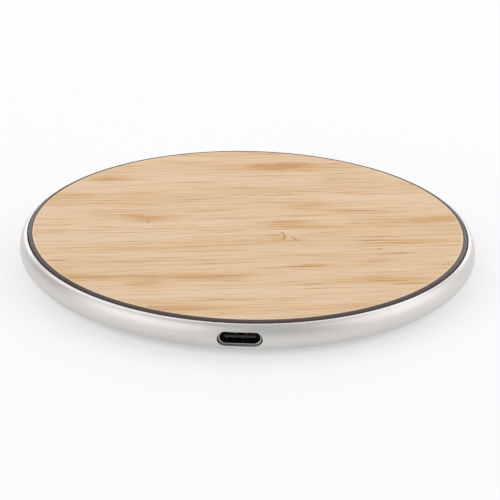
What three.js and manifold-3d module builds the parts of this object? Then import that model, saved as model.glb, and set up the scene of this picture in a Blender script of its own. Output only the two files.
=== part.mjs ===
// A round wireless charging pad: a bamboo disc in a dark plastic tray, held in an aluminium rim by a screwed
// base cover, with the transmitter coil, its ferrite, the circuit board and a USB-C receptacle inside.
// Millimetres, +Z up. The origin is on the table under the pad's centre, and the receptacle faces -Y.
import * as THREE from "three";
import { mergeVertices } from "three/addons/utils/BufferGeometryUtils.js";
import Module from "manifold-3d";

const wasm = await Module();
wasm.setup();

// ---------- Driving dimensions ----------

const PAD_RADIUS = 50; // outside of the rim at its widest
const PAD_HEIGHT = 8; // table to the top of the bamboo
const ROUND_STEPS = 64; // facets round the casing
const INNER_STEPS = 48; // facets round the discs and rings inside it
const BORE_STEPS = 12; // facets round a screw, post or hole
const CUT = 1; // how far a cutting tool runs past the face that it cuts

// Clearances
const SLIP = 0.2; // casing parts that slide into each other, all round
const DISC_SLIP = 0.08; // bamboo disc in its recess, all round
const RIM_SLIP = 0.06; // tray rim in the metal rim's recess, all round
const PIN_SLIP = 0.1; // a pin, screw or solder leg in its hole
const BOSS_GAP = 0.1; // between a tray boss and the well it pulls against
const COIL_GAP = 0.3; // between a wire's end and what it is joined to

// Metal rim
const RIM_WIDEST_Z = 4.4;
const RIM_TOP_DROP = 0.45; // the rim's top edge below the bamboo's top
const RIM_CHAMFER_WIDTH = 0.55;
const RIM_CHAMFER_DROP = 0.27;
const RIM_EDGE_WIDTH = 1.6; // top inner edge to the widest radius
const RIM_UPPER_SWEEP = THREE.MathUtils.degToRad(66); // how far round its ellipse the side goes, above
const RIM_LOWER_SWEEP = THREE.MathUtils.degToRad(57); // and below the widest line
const RIM_FOOT_INSET = 3.4; // the rim's bottom edge inside the widest radius
const RIM_FOOT_LAND = 0.5; // width of the flat bottom edge
const RIM_FOOT_RISE = 0.05; // the rim's bottom edge above the base cover's bottom face
const RIM_WALL = 2.4; // at the widest line
const LEDGE_DEPTH = 1.1; // the ledge that carries the tray, below the rim's top edge
const LEDGE_THICKNESS = 0.85;
const LEDGE_WIDTH = 1.4;
const LIP_WIDTH = 0.8; // the lower lip that the base cover pulls against
const LIP_THICKNESS = 0.55;

// Tray and bamboo disc
const DISC_THICKNESS = 1;
const DISC_ROUND = 0.15;
const TRAY_RIM_WIDTH = 0.98;
const TRAY_RIM_ROUND = 0.8; // how far in from its outside the tray rim's round starts
const ADHESIVE_THICKNESS = 0.15;
const ADHESIVE_INSET = 1;
const TRAY_FLOOR = 1;
const SKIRT_THICKNESS = 1.2;
const SKIRT_DEPTH = 1.35;
const SKIRT_NOTCH_WIDTH = 12;

// Base cover and anti-slip ring
const FOOT_DROP = 0.9; // how far the anti-slip ring stands below the base cover
const BASE_FLOOR = 1;
const BASE_FLANGE = 0.65;
const BASE_CHAMFER = 0.3;
const GROOVE_DEPTH = 0.4;
const FOOT_OUTER_INSET = 6; // the ring's outside, inside the pad's radius
const FOOT_WIDTH = 6;
const FOOT_ROUND = 0.25;
const LABEL_RADIUS = 22;
const LABEL_DEPTH = 0.2;

// Case screws, their wells in the base and their bosses in the tray
const SCREW_COUNT = 4;
const SCREW_FIRST_ANGLE = Math.PI / 4;
const SCREW_RADIUS = 1;
const SCREW_LENGTH = 3;
const SCREW_HEAD_RADIUS = 1.9;
const SCREW_HEAD_HEIGHT = 0.8;
const WELL_WALL = 1;
const WELL_ROOF = 0.9;
const BOSS_WALL = 1.65;
const RECESS_WIDTH = 0.5; // the cross recess's arms
const RECESS_LENGTH = 2;
const RECESS_DEPTH = 0.45;

// Circuit board: a piece of a ring in front of the coil
const BOARD_THICKNESS = 0.8;
const BOARD_PAD_HEIGHT = 0.3;
const BOARD_INNER_RADIUS = 26.5;
const BOARD_EDGE_GAP = 2; // between the board's outer edge and the rim's inner wall
const BOARD_HALF_ANGLE = THREE.MathUtils.degToRad(38);
const BOARD_STEPS = 24;
const POST_ANGLE = THREE.MathUtils.degToRad(33); // the locating posts, each side of the receptacle
const POST_INSET = 3.1; // inside the board's outer edge
const POST_RADIUS = 1.6;
const POST_PIN_RADIUS = 0.8;
const POST_PIN_LENGTH = 1;
const PAD_RADIUS_UNDER_BOARD = 2;

// USB-C receptacle
const SHELL_WIDTH = 8.84;
const SHELL_HEIGHT = 3.06;
const SHELL_WALL = 0.25;
const SHELL_LENGTH = 7.35;
const SHELL_RECESS = 1.3; // its mouth inside the pad's radius
const SHELL_LEG_WIDTH = 1.1;
const SHELL_LEG_OFFSETS = [0.75, 3.1]; // leg centres, from the shell's rear
const CUTOUT_SIDE_GAP = 0.2; // the rim's cut-out, each side of the shell
const CUTOUT_RISE_GAP = 0.06; // and above and below it
const POCKET_GAP = 0.7; // the wider pocket behind the cut-out, each side of the shell
const TONGUE_WIDTH = 6.69;
const TONGUE_THICKNESS = 0.7;
const TONGUE_RECESS = 0.5; // its tip inside the shell's mouth
const HOUSING_DEPTH = 1.9; // the moulding that fills the shell's rear
const HOUSING_SLIP = 0.04;
const CONTACT_PITCH = 0.5;
const CONTACT_WIDTH = 0.3;
const CONTACT_THICKNESS = 0.12;
const CONTACT_TIP_GAP = 0.6; // a contact's front end behind the tongue's tip
const CONTACT_FOOT = 0.7;
const CONTACT_SLIP = 0.03;
const UPPER_CONTACTS = [-0.75, 1.25, 2.75]; // CC1, VBUS and GND of a power-only receptacle
const LOWER_CONTACTS = [0.75, -1.25, -2.75];

// Transmitter coil, ferrite and what holds them
const COIL_OUTER_RADIUS = 22;
const COIL_INNER_RADIUS = 10.25;
const WIRE_DIAMETER = 1.2;
const COIL_TAPE = 0.1;
const FERRITE_RADIUS = 25;
const FERRITE_THICKNESS = 1.2;
const FERRITE_SLOT_WIDTH = 2;
const LEAD_OFFSET = 2.2; // each lead's distance from the middle, sideways
const LEAD_DIAMETER = 0.9;
const LEAD_BEND = 0.9;
const FOAM_RADIUS = 23;
const FENCE_THICKNESS = 0.8; // the rib round the coil, under the tray
const FENCE_DEPTH = 0.9;
const FENCE_SLIP = 0.3;
const FENCE_NOTCH_WIDTH = 9;

// ---------- Places worked out from them ----------

const baseBottomZ = FOOT_DROP;
const baseTopZ = baseBottomZ + BASE_FLOOR;
const flangeTopZ = baseBottomZ + BASE_FLANGE;
const grooveTopZ = baseBottomZ + GROOVE_DEPTH;
const boardBottomZ = baseTopZ + BOARD_PAD_HEIGHT;
const boardTopZ = boardBottomZ + BOARD_THICKNESS;
const shellMiddleZ = boardTopZ + SHELL_HEIGHT / 2;
const rimTopZ = PAD_HEIGHT - RIM_TOP_DROP;
const rimBottomZ = baseBottomZ + RIM_FOOT_RISE;
const ledgeZ = rimTopZ - LEDGE_DEPTH;
const trayRecessZ = PAD_HEIGHT - DISC_THICKNESS - ADHESIVE_THICKNESS;
const trayUnderZ = trayRecessZ - TRAY_FLOOR;
const coilTopZ = trayUnderZ - COIL_TAPE;
const coilBottomZ = coilTopZ - WIRE_DIAMETER;
const ferriteTopZ = coilBottomZ - COIL_TAPE;
const ferriteBottomZ = ferriteTopZ - FERRITE_THICKNESS;

const rimEdgeRadius = PAD_RADIUS - RIM_EDGE_WIDTH;
const rimWallRadius = PAD_RADIUS - RIM_WALL;
const ledgeRadius = rimEdgeRadius - LEDGE_WIDTH;
const rimFootRadius = PAD_RADIUS - RIM_FOOT_INSET;
const baseSeatRadius = rimFootRadius - RIM_FOOT_LAND;
const lipRadius = baseSeatRadius - LIP_WIDTH;
const trayRimRadius = rimEdgeRadius - RIM_SLIP;
const trayBodyRadius = ledgeRadius - SLIP;
const recessRadius = trayRimRadius - TRAY_RIM_WIDTH;
const discRadius = recessRadius - DISC_SLIP;
const footOuterRadius = PAD_RADIUS - FOOT_OUTER_INSET;
const footInnerRadius = footOuterRadius - FOOT_WIDTH;
const screwCircleRadius = (footOuterRadius + footInnerRadius) / 2;
const boardOuterRadius = rimWallRadius - BOARD_EDGE_GAP;
const postCircleRadius = boardOuterRadius - POST_INSET;

const wellSeatZ = grooveTopZ + SCREW_HEAD_HEIGHT + PIN_SLIP;
const wellTopZ = wellSeatZ + WELL_ROOF;
const shellMouthY = -(PAD_RADIUS - SHELL_RECESS);
const shellRearY = shellMouthY + SHELL_LENGTH;

// ---------- Materials ----------

const finish = (color, roughness, metalness) =>
  new THREE.MeshStandardMaterial({ color, roughness, metalness });
const bamboo = finish(0xdebb8f, 0.55, 0);
const darkPlastic = finish(0x3a3536, 0.5, 0);
const satinAluminium = finish(0xcfccc8, 0.35, 1);
const silicone = finish(0x2a2a2b, 0.8, 0);
const steel = finish(0xb9babc, 0.3, 1);
const blackResin = finish(0x161616, 0.55, 0);
const goldPlate = finish(0xd9b36a, 0.25, 1);
const copperWire = finish(0xb4672f, 0.35, 1);
const ferriteGrey = finish(0x2f2e2f, 0.7, 0);
const adhesiveFilm = finish(0xe8e4d8, 0.6, 0);
const foamGrey = finish(0x5a5b5e, 0.95, 0);
const boardGreen = finish(0x1f5a3c, 0.45, 0);
const ceramicTan = finish(0xa98a68, 0.5, 0);

// ---------- Solids ----------

// A closed three.js geometry as a manifold solid.
function solidOf(geometry) {
  const bare = geometry.clone();
  bare.deleteAttribute("normal");
  bare.deleteAttribute("uv");
  const merged = mergeVertices(bare);
  return new wasm.Manifold(
    new wasm.Mesh({
      numProp: 3,
      vertProperties: merged.attributes.position.array,
      triVerts: new Uint32Array(merged.index.array),
    }),
  );
}

// A manifold solid as a three.js geometry.
function geometryOf(solid) {
  const mesh = solid.getMesh();
  return new THREE.BufferGeometry()
    .setAttribute("position", new THREE.BufferAttribute(mesh.vertProperties, 3))
    .setIndex(new THREE.BufferAttribute(mesh.triVerts, 1));
}

const join = (solids) => solids.reduce((whole, next) => whole.add(next));
const cut = (body, tools) => tools.reduce((left, tool) => left.subtract(tool), body);

// A body of revolution about +Z from [radius, height] points that run up the outside.
function turned(points, steps = ROUND_STEPS) {
  const profile = points.map(([radius, height]) => new THREE.Vector2(radius, height));
  return new THREE.LatheGeometry(profile, steps).rotateX(Math.PI / 2);
}

// A flat ring or tube between two radii and two heights.
function ringOf(inner, outer, bottom, top, steps = ROUND_STEPS) {
  return turned(
    [[inner, bottom], [outer, bottom], [outer, top], [inner, top], [inner, bottom]],
    steps,
  );
}

// A disc or rod on the axis between two heights.
function discOf(radius, bottom, top, steps = ROUND_STEPS) {
  return turned([[0, bottom], [radius, bottom], [radius, top], [0, top]], steps);
}

// A round tool or stud standing at x, y.
function rodAt(x, y, radius, bottom, top) {
  return solidOf(discOf(radius, bottom, top, BORE_STEPS).translate(x, y, 0));
}

// A box from its two opposite corners.
function boxBetween([x0, y0, z0], [x1, y1, z1]) {
  return new THREE.BoxGeometry(x1 - x0, y1 - y0, z1 - z0).translate(
    (x0 + x1) / 2,
    (y0 + y1) / 2,
    (z0 + z1) / 2,
  );
}

// A bar with round sides, lying along Y, centred on x = 0 and the given height.
function stadiumBar(width, height, middleZ, frontY, rearY) {
  const round = height / 2;
  const straight = width / 2 - round;
  const outline = new THREE.Shape()
    .absarc(straight, 0, round, -Math.PI / 2, Math.PI / 2)
    .absarc(-straight, 0, round, Math.PI / 2, (3 * Math.PI) / 2)
    .closePath();
  return new THREE.ExtrudeGeometry(outline, {
    depth: rearY - frontY,
    curveSegments: 8,
    bevelEnabled: false,
  })
    .rotateX(Math.PI / 2)
    .translate(0, rearY, middleZ);
}

// Points of an ellipse's arc, from angle to angle.
function ellipseArc(centreR, centreZ, radiusR, radiusZ, from, to, steps) {
  return new THREE.EllipseCurve(centreR, centreZ, radiusR, radiusZ, from, to, to < from)
    .getPoints(steps)
    .map(({ x, y }) => [x, y]);
}

// x, y on a circle, with the angle measured from the receptacle's direction, -Y, towards +X.
const onCircle = (radius, angle) => [radius * Math.sin(angle), -radius * Math.cos(angle)];

const screwPlaces = Array.from({ length: SCREW_COUNT }, (_, i) =>
  onCircle(screwCircleRadius, SCREW_FIRST_ANGLE + (i * 2 * Math.PI) / SCREW_COUNT),
);
const postPlaces = [-POST_ANGLE, POST_ANGLE].map((angle) => onCircle(postCircleRadius, angle));

// ---------- Casing ----------

function bambooDisc() {
  return turned([
    [0, PAD_HEIGHT - DISC_THICKNESS],
    [discRadius, PAD_HEIGHT - DISC_THICKNESS],
    [discRadius, PAD_HEIGHT - DISC_ROUND],
    [discRadius - DISC_ROUND, PAD_HEIGHT],
    [0, PAD_HEIGHT],
  ]);
}

const discAdhesive = () =>
  discOf(discRadius - ADHESIVE_INSET, trayRecessZ, trayRecessZ + ADHESIVE_THICKNESS, INNER_STEPS);

// The side is two arcs of ellipses that meet upright at the widest line, under a flat bright chamfer.
function metalRim() {
  const upperInset = RIM_EDGE_WIDTH - RIM_CHAMFER_WIDTH;
  const upperRise = rimTopZ - RIM_CHAMFER_DROP - RIM_WIDEST_Z;
  const upperR = upperInset / (1 - Math.cos(RIM_UPPER_SWEEP));
  const upperZ = upperRise / Math.sin(RIM_UPPER_SWEEP);
  const lowerR = RIM_FOOT_INSET / (1 - Math.cos(RIM_LOWER_SWEEP));
  const lowerZ = (RIM_WIDEST_Z - rimBottomZ) / Math.sin(RIM_LOWER_SWEEP);
  const lower = ellipseArc(
    PAD_RADIUS - lowerR, RIM_WIDEST_Z, lowerR, lowerZ, -RIM_LOWER_SWEEP, 0, 6,
  );
  const upper = ellipseArc(
    PAD_RADIUS - upperR, RIM_WIDEST_Z, upperR, upperZ, 0, RIM_UPPER_SWEEP, 5,
  );
  const body = turned([
    [baseSeatRadius, rimBottomZ],
    ...lower,
    ...upper.slice(1),
    [rimEdgeRadius, rimTopZ],
    [rimEdgeRadius, ledgeZ],
    [ledgeRadius, ledgeZ],
    [ledgeRadius, ledgeZ - LEDGE_THICKNESS],
    [rimWallRadius, ledgeZ - LEDGE_THICKNESS],
    [rimWallRadius, flangeTopZ + LIP_THICKNESS],
    [lipRadius, flangeTopZ + LIP_THICKNESS],
    [lipRadius, flangeTopZ],
    [baseSeatRadius, flangeTopZ],
    [baseSeatRadius, rimBottomZ],
  ]);
  return geometryOf(cut(solidOf(body), [portCutout(), portPocket()]));
}

// The stadium-shaped hole that shows in the rim's side.
function portCutout() {
  return solidOf(
    stadiumBar(
      SHELL_WIDTH + 2 * CUTOUT_SIDE_GAP,
      SHELL_HEIGHT + 2 * CUTOUT_RISE_GAP,
      shellMiddleZ,
      -PAD_RADIUS - CUT,
      -ledgeRadius,
    ),
  );
}

// A square pocket behind that hole, through the ledge, where the shell passes.
function portPocket() {
  const half = SHELL_WIDTH / 2 + POCKET_GAP;
  const front = -Math.sqrt((rimEdgeRadius - SLIP) ** 2 - half ** 2);
  return solidOf(
    boxBetween(
      [-half, front, boardTopZ - POCKET_GAP / 2],
      [half, -ledgeRadius + 3 * CUT, ledgeZ + CUT],
    ),
  );
}

function topTray() {
  const rimRoundZ = TRAY_RIM_ROUND * (RIM_TOP_DROP / TRAY_RIM_WIDTH) + RIM_SLIP;
  const rimRound = ellipseArc(
    trayRimRadius - TRAY_RIM_ROUND, PAD_HEIGHT - rimRoundZ, TRAY_RIM_ROUND, rimRoundZ, 0, Math.PI / 2, 4,
  );
  const body = turned([
    [0, trayUnderZ],
    [trayBodyRadius - SKIRT_THICKNESS, trayUnderZ],
    [trayBodyRadius - SKIRT_THICKNESS, trayUnderZ - SKIRT_DEPTH],
    [trayBodyRadius, trayUnderZ - SKIRT_DEPTH],
    [trayBodyRadius, ledgeZ],
    [trayRimRadius, ledgeZ],
    ...rimRound,
    [recessRadius, PAD_HEIGHT],
    [recessRadius, trayRecessZ],
    [0, trayRecessZ],
  ]);
  const rootZ = trayUnderZ + TRAY_FLOOR / 2;
  const bosses = screwPlaces.map(([x, y]) =>
    rodAt(x, y, SCREW_RADIUS + BOSS_WALL, wellTopZ + BOSS_GAP, rootZ),
  );
  const posts = postPlaces.map(([x, y]) => rodAt(x, y, POST_RADIUS, boardTopZ + BOSS_GAP, rootZ));
  const pins = postPlaces.map(([x, y]) =>
    rodAt(x, y, POST_PIN_RADIUS, boardTopZ - POST_PIN_LENGTH, boardTopZ + 2 * BOSS_GAP),
  );
  const pilotHoles = screwPlaces.map(([x, y]) =>
    rodAt(x, y, SCREW_RADIUS + PIN_SLIP / 2, wellTopZ, wellSeatZ + SCREW_LENGTH + PIN_SLIP),
  );
  const whole = join([solidOf(body), ...bosses, ...posts, ...pins, coilFence()]);
  return geometryOf(cut(whole, [...pilotHoles, skirtNotch(), shellPocket()]));
}

// The rib under the tray that centres the coil, open at the front where the leads leave.
function coilFence() {
  const inner = COIL_OUTER_RADIUS + FENCE_SLIP;
  const fence = solidOf(
    ringOf(inner, inner + FENCE_THICKNESS, trayUnderZ - FENCE_DEPTH, trayUnderZ + TRAY_FLOOR / 2),
  );
  const notch = boxBetween(
    [-FENCE_NOTCH_WIDTH / 2, -inner - FENCE_THICKNESS - CUT, trayUnderZ - FENCE_DEPTH - CUT],
    [FENCE_NOTCH_WIDTH / 2, 0, trayUnderZ],
  );
  return fence.subtract(solidOf(notch));
}

// The gap in the tray's skirt in front of the receptacle.
function skirtNotch() {
  const half = SKIRT_NOTCH_WIDTH / 2;
  return solidOf(
    boxBetween(
      [-half, -trayBodyRadius - CUT, trayUnderZ - SKIRT_DEPTH - CUT],
      [half, -trayBodyRadius + 3 * SKIRT_THICKNESS, trayUnderZ],
    ),
  );
}

// The pocket under the tray's floor that the top of the receptacle's shell reaches into.
function shellPocket() {
  const half = SHELL_WIDTH / 2 + SLIP;
  return solidOf(
    boxBetween(
      [-half, -trayBodyRadius - CUT, trayUnderZ - CUT],
      [half, shellRearY + SLIP, boardTopZ + SHELL_HEIGHT + PIN_SLIP],
    ),
  );
}

function baseCover() {
  const flangeRadius = baseSeatRadius - RIM_SLIP;
  const body = turned([
    [0, baseBottomZ + LABEL_DEPTH],
    [LABEL_RADIUS, baseBottomZ + LABEL_DEPTH],
    [LABEL_RADIUS, baseBottomZ],
    [footInnerRadius - PIN_SLIP, baseBottomZ],
    [footInnerRadius - PIN_SLIP, grooveTopZ],
    [footOuterRadius + PIN_SLIP, grooveTopZ],
    [footOuterRadius + PIN_SLIP, baseBottomZ],
    [flangeRadius - BASE_CHAMFER, baseBottomZ],
    [flangeRadius, baseBottomZ + BASE_CHAMFER],
    [flangeRadius, flangeTopZ],
    [lipRadius - SLIP, flangeTopZ],
    [lipRadius - SLIP, baseTopZ],
    [0, baseTopZ],
  ]);
  const rootZ = baseBottomZ + BASE_FLOOR / 2;
  const headHole = SCREW_HEAD_RADIUS + PIN_SLIP;
  const wells = screwPlaces.map(([x, y]) => rodAt(x, y, headHole + WELL_WALL, rootZ, wellTopZ));
  const headHoles = screwPlaces.map(([x, y]) => rodAt(x, y, headHole, baseBottomZ, wellSeatZ));
  const shankHoles = screwPlaces.map(([x, y]) =>
    rodAt(x, y, SCREW_RADIUS + 2 * PIN_SLIP, baseBottomZ, wellTopZ + CUT),
  );
  const pads = boardPadPlaces().map(([x, y]) =>
    rodAt(x, y, PAD_RADIUS_UNDER_BOARD, rootZ, boardBottomZ),
  );
  const pinHoles = postPlaces.map(([x, y]) =>
    rodAt(x, y, POST_PIN_RADIUS + PIN_SLIP, boardTopZ - POST_PIN_LENGTH - PIN_SLIP, boardTopZ),
  );
  const whole = join([solidOf(body), ...wells, ...pads]);
  return geometryOf(cut(whole, [...headHoles, ...shankHoles, ...pinHoles]));
}

// The base's pads carry the board at its posts, at its inner corners and beside the receptacle.
function boardPadPlaces() {
  const innerRadius = BOARD_INNER_RADIUS + PAD_RADIUS_UNDER_BOARD;
  const beside = [-1, 1].map((side) => [side * (SHELL_WIDTH + SHELL_LEG_WIDTH), shellRearY]);
  const inner = [-POST_ANGLE, POST_ANGLE].map((angle) => onCircle(innerRadius, angle * 0.8));
  return [...postPlaces, ...beside, ...inner];
}

function antiSlipRing() {
  return turned([
    [footInnerRadius, FOOT_ROUND],
    [footInnerRadius + FOOT_ROUND, 0],
    [footOuterRadius - FOOT_ROUND, 0],
    [footOuterRadius, FOOT_ROUND],
    [footOuterRadius, grooveTopZ],
    [footInnerRadius, grooveTopZ],
    [footInnerRadius, FOOT_ROUND],
  ]);
}

// A pan-head screw standing head down on its own seat at z = 0, with a cross recess in the head.
function caseScrew() {
  const lead = SCREW_RADIUS / 2;
  const body = turned(
    [
      [0, -SCREW_HEAD_HEIGHT],
      [SCREW_HEAD_RADIUS * 0.8, -SCREW_HEAD_HEIGHT],
      [SCREW_HEAD_RADIUS, -SCREW_HEAD_HEIGHT / 2],
      [SCREW_HEAD_RADIUS, 0],
      [SCREW_RADIUS, 0],
      [SCREW_RADIUS, SCREW_LENGTH - lead],
      [SCREW_RADIUS / 2, SCREW_LENGTH],
      [0, SCREW_LENGTH],
    ],
    BORE_STEPS,
  );
  const arm = (along, across) =>
    solidOf(
      boxBetween(
        [-along / 2, -across / 2, -SCREW_HEAD_HEIGHT - CUT],
        [along / 2, across / 2, -SCREW_HEAD_HEIGHT + RECESS_DEPTH],
      ),
    );
  const arms = [arm(RECESS_LENGTH, RECESS_WIDTH), arm(RECESS_WIDTH, RECESS_LENGTH)];
  return geometryOf(cut(solidOf(body), arms));
}

// ---------- Coil stack ----------

const coilRing = (bottom, top) =>
  ringOf(COIL_INNER_RADIUS, COIL_OUTER_RADIUS, bottom, top, INNER_STEPS);
const coilTape = () => coilRing(coilTopZ, trayUnderZ);
const transmitterCoil = () => coilRing(coilBottomZ, coilTopZ);
const foamPad = () => discOf(FOAM_RADIUS, baseTopZ, ferriteBottomZ, INNER_STEPS);

// The slot in the ferrite and its tape where the coil's inner lead runs out to the board.
function leadSlot() {
  const half = FERRITE_SLOT_WIDTH / 2;
  return solidOf(
    boxBetween(
      [-LEAD_OFFSET - half, -FERRITE_RADIUS - CUT, ferriteBottomZ - CUT],
      [-LEAD_OFFSET + half, -COIL_INNER_RADIUS + 2 * WIRE_DIAMETER, coilBottomZ + CUT],
    ),
  );
}

const ferriteTape = () =>
  geometryOf(solidOf(coilRing(ferriteTopZ, coilBottomZ)).subtract(leadSlot()));

function ferritePlate() {
  const plate = discOf(FERRITE_RADIUS, ferriteBottomZ, ferriteTopZ, INNER_STEPS);
  return geometryOf(solidOf(plate).subtract(leadSlot()));
}

// A lead of bunched strands that follows a smooth curve through the points.
function leadThrough(points, steps) {
  const round = new THREE.Shape().absarc(0, 0, LEAD_DIAMETER / 2, 0, 2 * Math.PI);
  return new THREE.ExtrudeGeometry(round, {
    steps,
    curveSegments: 3,
    extrudePath: new THREE.CatmullRomCurve3(points.map((p) => new THREE.Vector3(...p))),
  });
}

const leadPadZ = boardTopZ + LEAD_DIAMETER / 2 + COIL_TAPE;
const leadBoardY = -BOARD_INNER_RADIUS - LEAD_DIAMETER;
const leadEndY = leadBoardY - 2;

// From beside the coil's inner turn, down through the slot and out along it to the board.
function innerLead() {
  const slotZ = (ferriteBottomZ + ferriteTopZ) / 2;
  const startY = -COIL_INNER_RADIUS + WIRE_DIAMETER;
  const elbow = LEAD_BEND * Math.SQRT1_2;
  const centreY = startY - LEAD_BEND;
  const centreZ = slotZ + LEAD_BEND;
  const points = [
    [startY, centreZ + WIRE_DIAMETER / 2],
    [startY, centreZ],
    [centreY + elbow, centreZ - elbow],
    [centreY, slotZ],
    [centreY - LEAD_BEND, slotZ],
    [-FERRITE_RADIUS + 2 * LEAD_BEND, slotZ],
    [-FERRITE_RADIUS, slotZ],
    [leadBoardY, leadPadZ],
    [leadEndY, leadPadZ],
  ];
  return leadThrough(points.map(([y, z]) => [-LEAD_OFFSET, y, z]), 28);
}

// From beside the coil's outer turn, over the ferrite's edge and down to the board.
function outerLead() {
  const startY = -Math.sqrt(COIL_OUTER_RADIUS ** 2 - LEAD_OFFSET ** 2) - COIL_GAP;
  const wireZ = (coilBottomZ + coilTopZ) / 2;
  const points = [
    [startY, wireZ],
    [-FERRITE_RADIUS, wireZ],
    [leadBoardY + LEAD_BEND, (wireZ + leadPadZ) / 2],
    [leadBoardY - LEAD_BEND / 2, leadPadZ],
    [leadEndY, leadPadZ],
  ];
  return leadThrough(points.map(([y, z]) => [LEAD_OFFSET, y, z]), 14);
}

// ---------- Circuit board and receptacle ----------

function circuitBoard() {
  const from = -Math.PI / 2 - BOARD_HALF_ANGLE;
  const to = -Math.PI / 2 + BOARD_HALF_ANGLE;
  const outline = new THREE.Shape()
    .absarc(0, 0, boardOuterRadius, from, to)
    .absarc(0, 0, BOARD_INNER_RADIUS, to, from, true)
    .closePath();
  const board = new THREE.ExtrudeGeometry(outline, {
    depth: BOARD_THICKNESS,
    curveSegments: BOARD_STEPS,
    bevelEnabled: false,
  }).translate(0, 0, boardBottomZ);
  const pinHoles = postPlaces.map(([x, y]) =>
    rodAt(x, y, POST_PIN_RADIUS + PIN_SLIP, boardBottomZ - CUT, boardTopZ + CUT),
  );
  const legSlots = shellLegs(PIN_SLIP, boardBottomZ - CUT);
  return geometryOf(cut(solidOf(board), [...pinHoles, ...legSlots]));
}

// The shell's four solder legs, grown by a margin to cut their slots in the board.
function shellLegs(margin, bottomZ) {
  const middleX = SHELL_WIDTH / 2 - SHELL_WALL / 2;
  return [-1, 1].flatMap((side) =>
    SHELL_LEG_OFFSETS.map((offset) =>
      solidOf(
        boxBetween(
          [
            side * middleX - SHELL_WALL / 2 - margin,
            shellRearY - offset - SHELL_LEG_WIDTH / 2 - margin,
            bottomZ,
          ],
          [
            side * middleX + SHELL_WALL / 2 + margin,
            shellRearY - offset + SHELL_LEG_WIDTH / 2 + margin,
            shellMiddleZ,
          ],
        ),
      ),
    ),
  );
}

function usbShell() {
  const inner = [SHELL_WIDTH - 2 * SHELL_WALL, SHELL_HEIGHT - 2 * SHELL_WALL];
  const tube = solidOf(
    stadiumBar(SHELL_WIDTH, SHELL_HEIGHT, shellMiddleZ, shellMouthY, shellRearY),
  );
  const bore = solidOf(
    stadiumBar(...inner, shellMiddleZ, shellMouthY - CUT, shellRearY + CUT),
  );
  const outside = join([tube, ...shellLegs(0, boardBottomZ)]);
  return geometryOf(outside.subtract(bore));
}

// The black moulding: a block that fills the shell's rear and the tongue that stands out of it.
function usbHousing() {
  const block = solidOf(
    stadiumBar(
      SHELL_WIDTH - 2 * SHELL_WALL - 2 * HOUSING_SLIP,
      SHELL_HEIGHT - 2 * SHELL_WALL - 2 * HOUSING_SLIP,
      shellMiddleZ,
      shellRearY - HOUSING_DEPTH,
      shellRearY,
    ),
  );
  const tongue = solidOf(
    boxBetween(
      [-TONGUE_WIDTH / 2, shellMouthY + TONGUE_RECESS, shellMiddleZ - TONGUE_THICKNESS / 2],
      [TONGUE_WIDTH / 2, shellRearY - HOUSING_DEPTH / 2, shellMiddleZ + TONGUE_THICKNESS / 2],
    ),
  );
  const slots = contactRows().map(({ x, side }) => {
    const faceZ = shellMiddleZ + (side * TONGUE_THICKNESS) / 2;
    const farZ = faceZ + side * (CONTACT_THICKNESS + CONTACT_SLIP);
    const half = CONTACT_WIDTH / 2 + CONTACT_SLIP;
    return solidOf(
      boxBetween(
        [x - half, shellRearY - HOUSING_DEPTH - CUT, Math.min(faceZ, farZ)],
        [x + half, shellRearY + CUT, Math.max(faceZ, farZ)],
      ),
    );
  });
  return geometryOf(cut(block.add(tongue), slots));
}

// Each contact's place across the tongue, and the tongue's face that it lies on: 1 upper, -1 lower.
function contactRows() {
  return [
    ...UPPER_CONTACTS.map((x) => ({ x, side: 1 })),
    ...LOWER_CONTACTS.map((x) => ({ x, side: -1 })),
  ];
}

// A bent strip: along the tongue, back through the moulding, down to the board and out along it.
function usbContact({ x, side }) {
  const tongueZ = shellMiddleZ + (side * TONGUE_THICKNESS) / 2;
  const lowZ = Math.min(tongueZ, tongueZ + side * CONTACT_THICKNESS);
  const highZ = lowZ + CONTACT_THICKNESS;
  const tipY = shellMouthY + TONGUE_RECESS + CONTACT_TIP_GAP;
  const bendY = shellRearY + (side > 0 ? 2 * CONTACT_THICKNESS : CONTACT_THICKNESS) + CONTACT_SLIP;
  const footTopZ = boardTopZ + CONTACT_THICKNESS;
  const sideView = [
    [tipY, lowZ],
    [bendY, lowZ],
    [bendY, boardTopZ],
    [bendY + CONTACT_FOOT, boardTopZ],
    [bendY + CONTACT_FOOT, footTopZ],
    [bendY + CONTACT_THICKNESS, footTopZ],
    [bendY + CONTACT_THICKNESS, highZ],
    [tipY, highZ],
  ];
  const outline = new THREE.Shape(sideView.map(([y, z]) => new THREE.Vector2(y, z)));
  return new THREE.ExtrudeGeometry(outline, { depth: CONTACT_WIDTH, bevelEnabled: false })
    .applyMatrix4(new THREE.Matrix4().set(0, 0, 1, 0, 1, 0, 0, 0, 0, 1, 0, 0, 0, 0, 0, 1))
    .translate(x - CONTACT_WIDTH / 2, 0, 0);
}

// ---------- Parts soldered to the board, each standing on z = 0 at its own centre ----------

const chipBlock = (width, depth, height) =>
  boxBetween([-width / 2, -depth / 2, 0], [width / 2, depth / 2, height]);

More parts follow.
